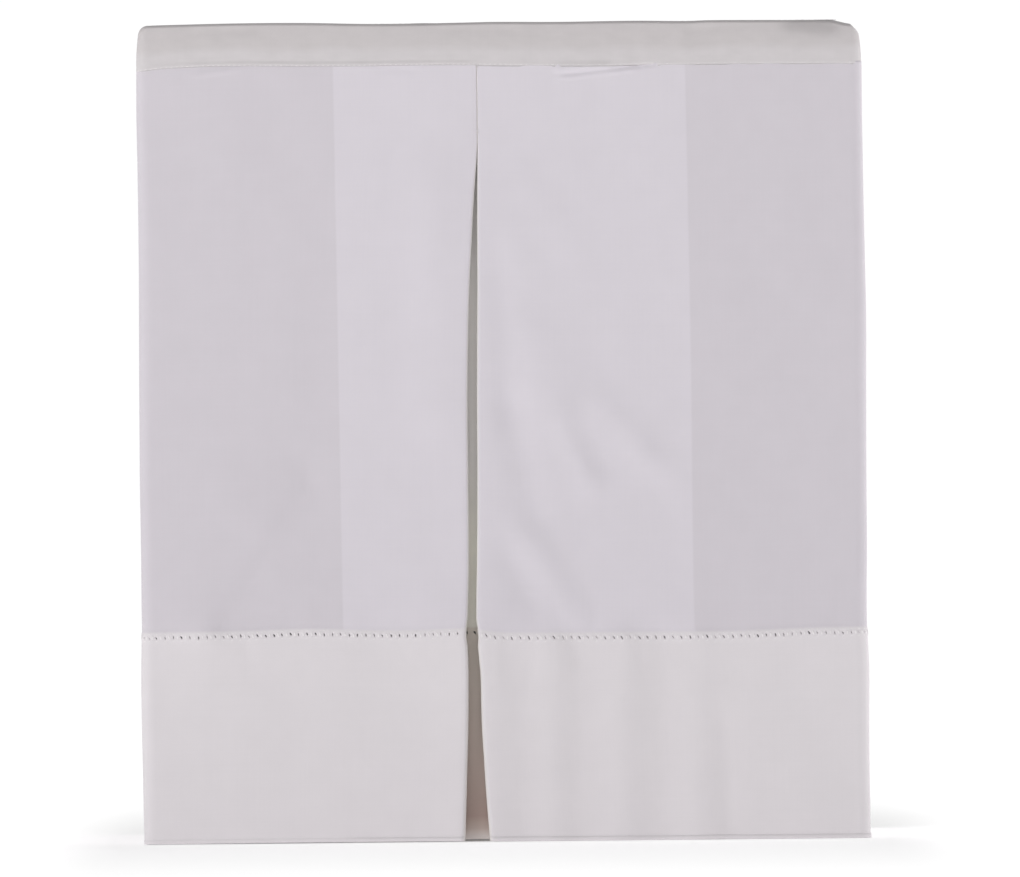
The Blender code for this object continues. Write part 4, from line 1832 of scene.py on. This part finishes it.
@dataclass(frozen=True)
class Studio:
    """The pale floor, the soft light and the camera at the picture's angle.

    The room's light and the floor's glow each have a pair of strengths, at a pair of heights or
    distances.
    """

    lamps: tuple[Lamp, ...] = (Lamp("key_light", -48, 1, 63.5), Lamp("rim_light", 98, 6, 64.0))
    lamp_size: float = 1.6
    lamp_distance: float = 4.0
    lamp_height: float = 0.2
    room_heights: tuple[float, float] = (0.08, 0.9)
    room_strengths: tuple[float, float] = (0.89, 0.2)
    backdrop: float = 1.02
    floor_size: float = 30.0
    floor_level: float = -0.05 * MM
    floor_tone: float = 0.95
    # The floor glows less near the skirt, a painted shadow, which ends fast beyond the skirt's sides and
    # fades out over its reach.
    skirt_side: float = 0.185
    painted_shadow_side_falloff: float = 18.0
    painted_shadow_reach: tuple[float, float] = (0.2, 1.1)
    glow_strengths: tuple[float, float] = (0.395, 0.65)
    distance: float = 8.0
    aim: tuple[float, float, float] = (3.8 * MM, -103.7 * MM, 200.9 * MM)
    view_width: float = 0.5085
    sensor: float = 36.0
    roll: float = 0.0098

    def camera(self) -> None:
        """A long lens, level with the middle of the front and rolled as in the picture."""
        data = bpy.data.cameras.new("camera")
        data.sensor_width = self.sensor
        data.lens = self.sensor * self.distance / self.view_width
        data.clip_end = 50.0
        made = bpy.data.objects.new("camera", data)
        bpy.context.scene.collection.objects.link(made)
        x, y, z = self.aim
        made.matrix_world = (
            Matrix.Translation((x, y - self.distance, z))
            @ Matrix.Rotation(pi / 2, 4, "X")
            @ Matrix.Rotation(-self.roll, 4, "Z")
        )
        bpy.context.scene.camera = made

    def floor(self) -> None:
        """A wide pale floor that glows more away from the skirt, a painted shadow under and beside it, and
        keeps its own faint shadow as well.
        """
        bpy.ops.mesh.primitive_plane_add(size=self.floor_size, location=(0.0, 0.0, self.floor_level))
        floor = bpy.context.object
        floor.name = "floor"
        material = bpy.data.materials.new("pale_floor")
        material.use_nodes = True
        nodes, links = material.node_tree.nodes, material.node_tree.links
        shader = nodes["Principled BSDF"]
        shader.inputs["Base Color"].default_value = (self.floor_tone,) * 3 + (1.0,)
        shader.inputs["Roughness"].default_value = 0.9
        shader.inputs["Specular IOR Level"].default_value = 0.0
        shader.inputs["Emission Color"].default_value = (1.0, 1.0, 1.0, 1.0)
        where = nodes.new("ShaderNodeTexCoord")
        split = nodes.new("ShaderNodeSeparateXYZ")
        joined = nodes.new("ShaderNodeCombineXYZ")
        away = nodes.new("ShaderNodeVectorMath")
        away.operation = "LENGTH"
        links.new(where.outputs["Object"], split.inputs["Vector"])
        # Painted shadow: the glow is weakest near the skirt, grows with distance, and grows fast beyond the
        # skirt's sides.
        last = split.outputs["X"]
        beside = (
            ("ABSOLUTE", 0.0),
            ("SUBTRACT", self.skirt_side),
            ("MAXIMUM", 0.0),
            ("MULTIPLY", self.painted_shadow_side_falloff),
        )
        for operation, value in beside:
            step = nodes.new("ShaderNodeMath")
            step.operation = operation
            step.inputs[1].default_value = value
            links.new(last, step.inputs[0])
            last = step.outputs[0]
        links.new(last, joined.inputs["X"])
        links.new(split.outputs["Y"], joined.inputs["Y"])
        links.new(joined.outputs["Vector"], away.inputs[0])
        glow = self._ramp(nodes, self.painted_shadow_reach, self.glow_strengths)
        links.new(away.outputs["Value"], glow.inputs["Value"])
        links.new(glow.outputs["Result"], shader.inputs["Emission Strength"])
        floor.data.materials.append(material)

    @staticmethod
    def _ramp(
        nodes: bpy.types.Nodes, source: tuple[float, float], result: tuple[float, float]
    ) -> bpy.types.Node:
        """A Map Range node.

        Args:
            nodes: The tree's nodes.
            source: The range that it reads.
            result: The range that it gives.

        Returns:
            The node.
        """
        made = nodes.new("ShaderNodeMapRange")
        for name, value in zip(("From Min", "From Max", "To Min", "To Max"), (*source, *result)):
            made.inputs[name].default_value = value
        return made

    def light(self) -> None:
        """A white room that is dimmer overhead, a soft light from the front left and one behind the right."""
        world = bpy.data.worlds.new("studio")
        world.use_nodes = True
        nodes, links = world.node_tree.nodes, world.node_tree.links
        background = nodes["Background"]
        where = nodes.new("ShaderNodeTexCoord")
        split = nodes.new("ShaderNodeSeparateXYZ")
        ramp = self._ramp(nodes, self.room_heights, self.room_strengths)
        links.new(where.outputs["Generated"], split.inputs["Vector"])
        links.new(split.outputs["Z"], ramp.inputs["Value"])
        seen = nodes.new("ShaderNodeLightPath")
        strength = nodes.new("ShaderNodeMix")
        strength.inputs[MixPlace.SECOND_NUMBER].default_value = self.backdrop
        links.new(ramp.outputs["Result"], strength.inputs[MixPlace.FIRST_NUMBER])
        links.new(seen.outputs["Is Camera Ray"], strength.inputs[MixPlace.SHARE])
        links.new(strength.outputs[MixPlace.NUMBER], background.inputs["Strength"])
        background.inputs["Color"].default_value = (1.0, 1.0, 1.0, 1.0)
        bpy.context.scene.world = world
        for lamp in self.lamps:
            data = bpy.data.lights.new(lamp.name, "AREA")
            data.energy = lamp.power
            data.size = self.lamp_size
            made = bpy.data.objects.new(lamp.name, data)
            bpy.context.scene.collection.objects.link(made)
            made.matrix_world = (
                Matrix.Rotation(radians(lamp.around), 4, "Z")
                @ Matrix.Rotation(radians(-lamp.up), 4, "X")
                @ Matrix.Translation((0.0, -self.lamp_distance, self.lamp_height))
                @ Matrix.Rotation(pi / 2, 4, "X")
            )
        bpy.context.scene.view_settings.view_transform = "Standard"


def dress(piece: bpy.types.Object, replaced: str = "") -> None:
    """Puts a piece on the one body.

    Args:
        piece: The piece.
        replaced: The solid that it stands for, if any.
    """
    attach(piece, "root")
    if replaced:
        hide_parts(replaced)
    LOG.info("%s: %d vertices", piece.name, len(piece.data.vertices))


def main() -> None:
    """Builds every piece in order and sets up the studio."""
    logging.basicConfig(level=logging.INFO, format="%(message)s")
    studio = Studio()
    studio.camera()
    studio.floor()
    studio.light()
    plan = SkirtPlan()
    finishes = Finishes()
    stitches = StitchRows(finishes.thread)

    block = BaseBlock(finishes.block).build()
    dress(block, "base_block")
    dress(block_seams(stitches, 15 * MM, 8 * MM))
    deck = Deck(plan, finishes.deck).build()
    dress(deck, "deck")
    band = TopBand(plan, finishes.band).build()
    dress(band, "top_band")
    skirt = Drop(plan, finishes.face, stitches)
    drop = skirt.build()
    dress(drop, "drop")
    sewing = EdgeSewing(plan, stitches, skirt)
    seam, deck_edge = sewing.seam(), sewing.deck_edge()
    row = [*skirt.sew_row(), sewing.rear_hems(), sewing.tacks()]
    for piece in (seam, deck_edge, *row):
        dress(piece)


if __name__ == "__main__":
    main()
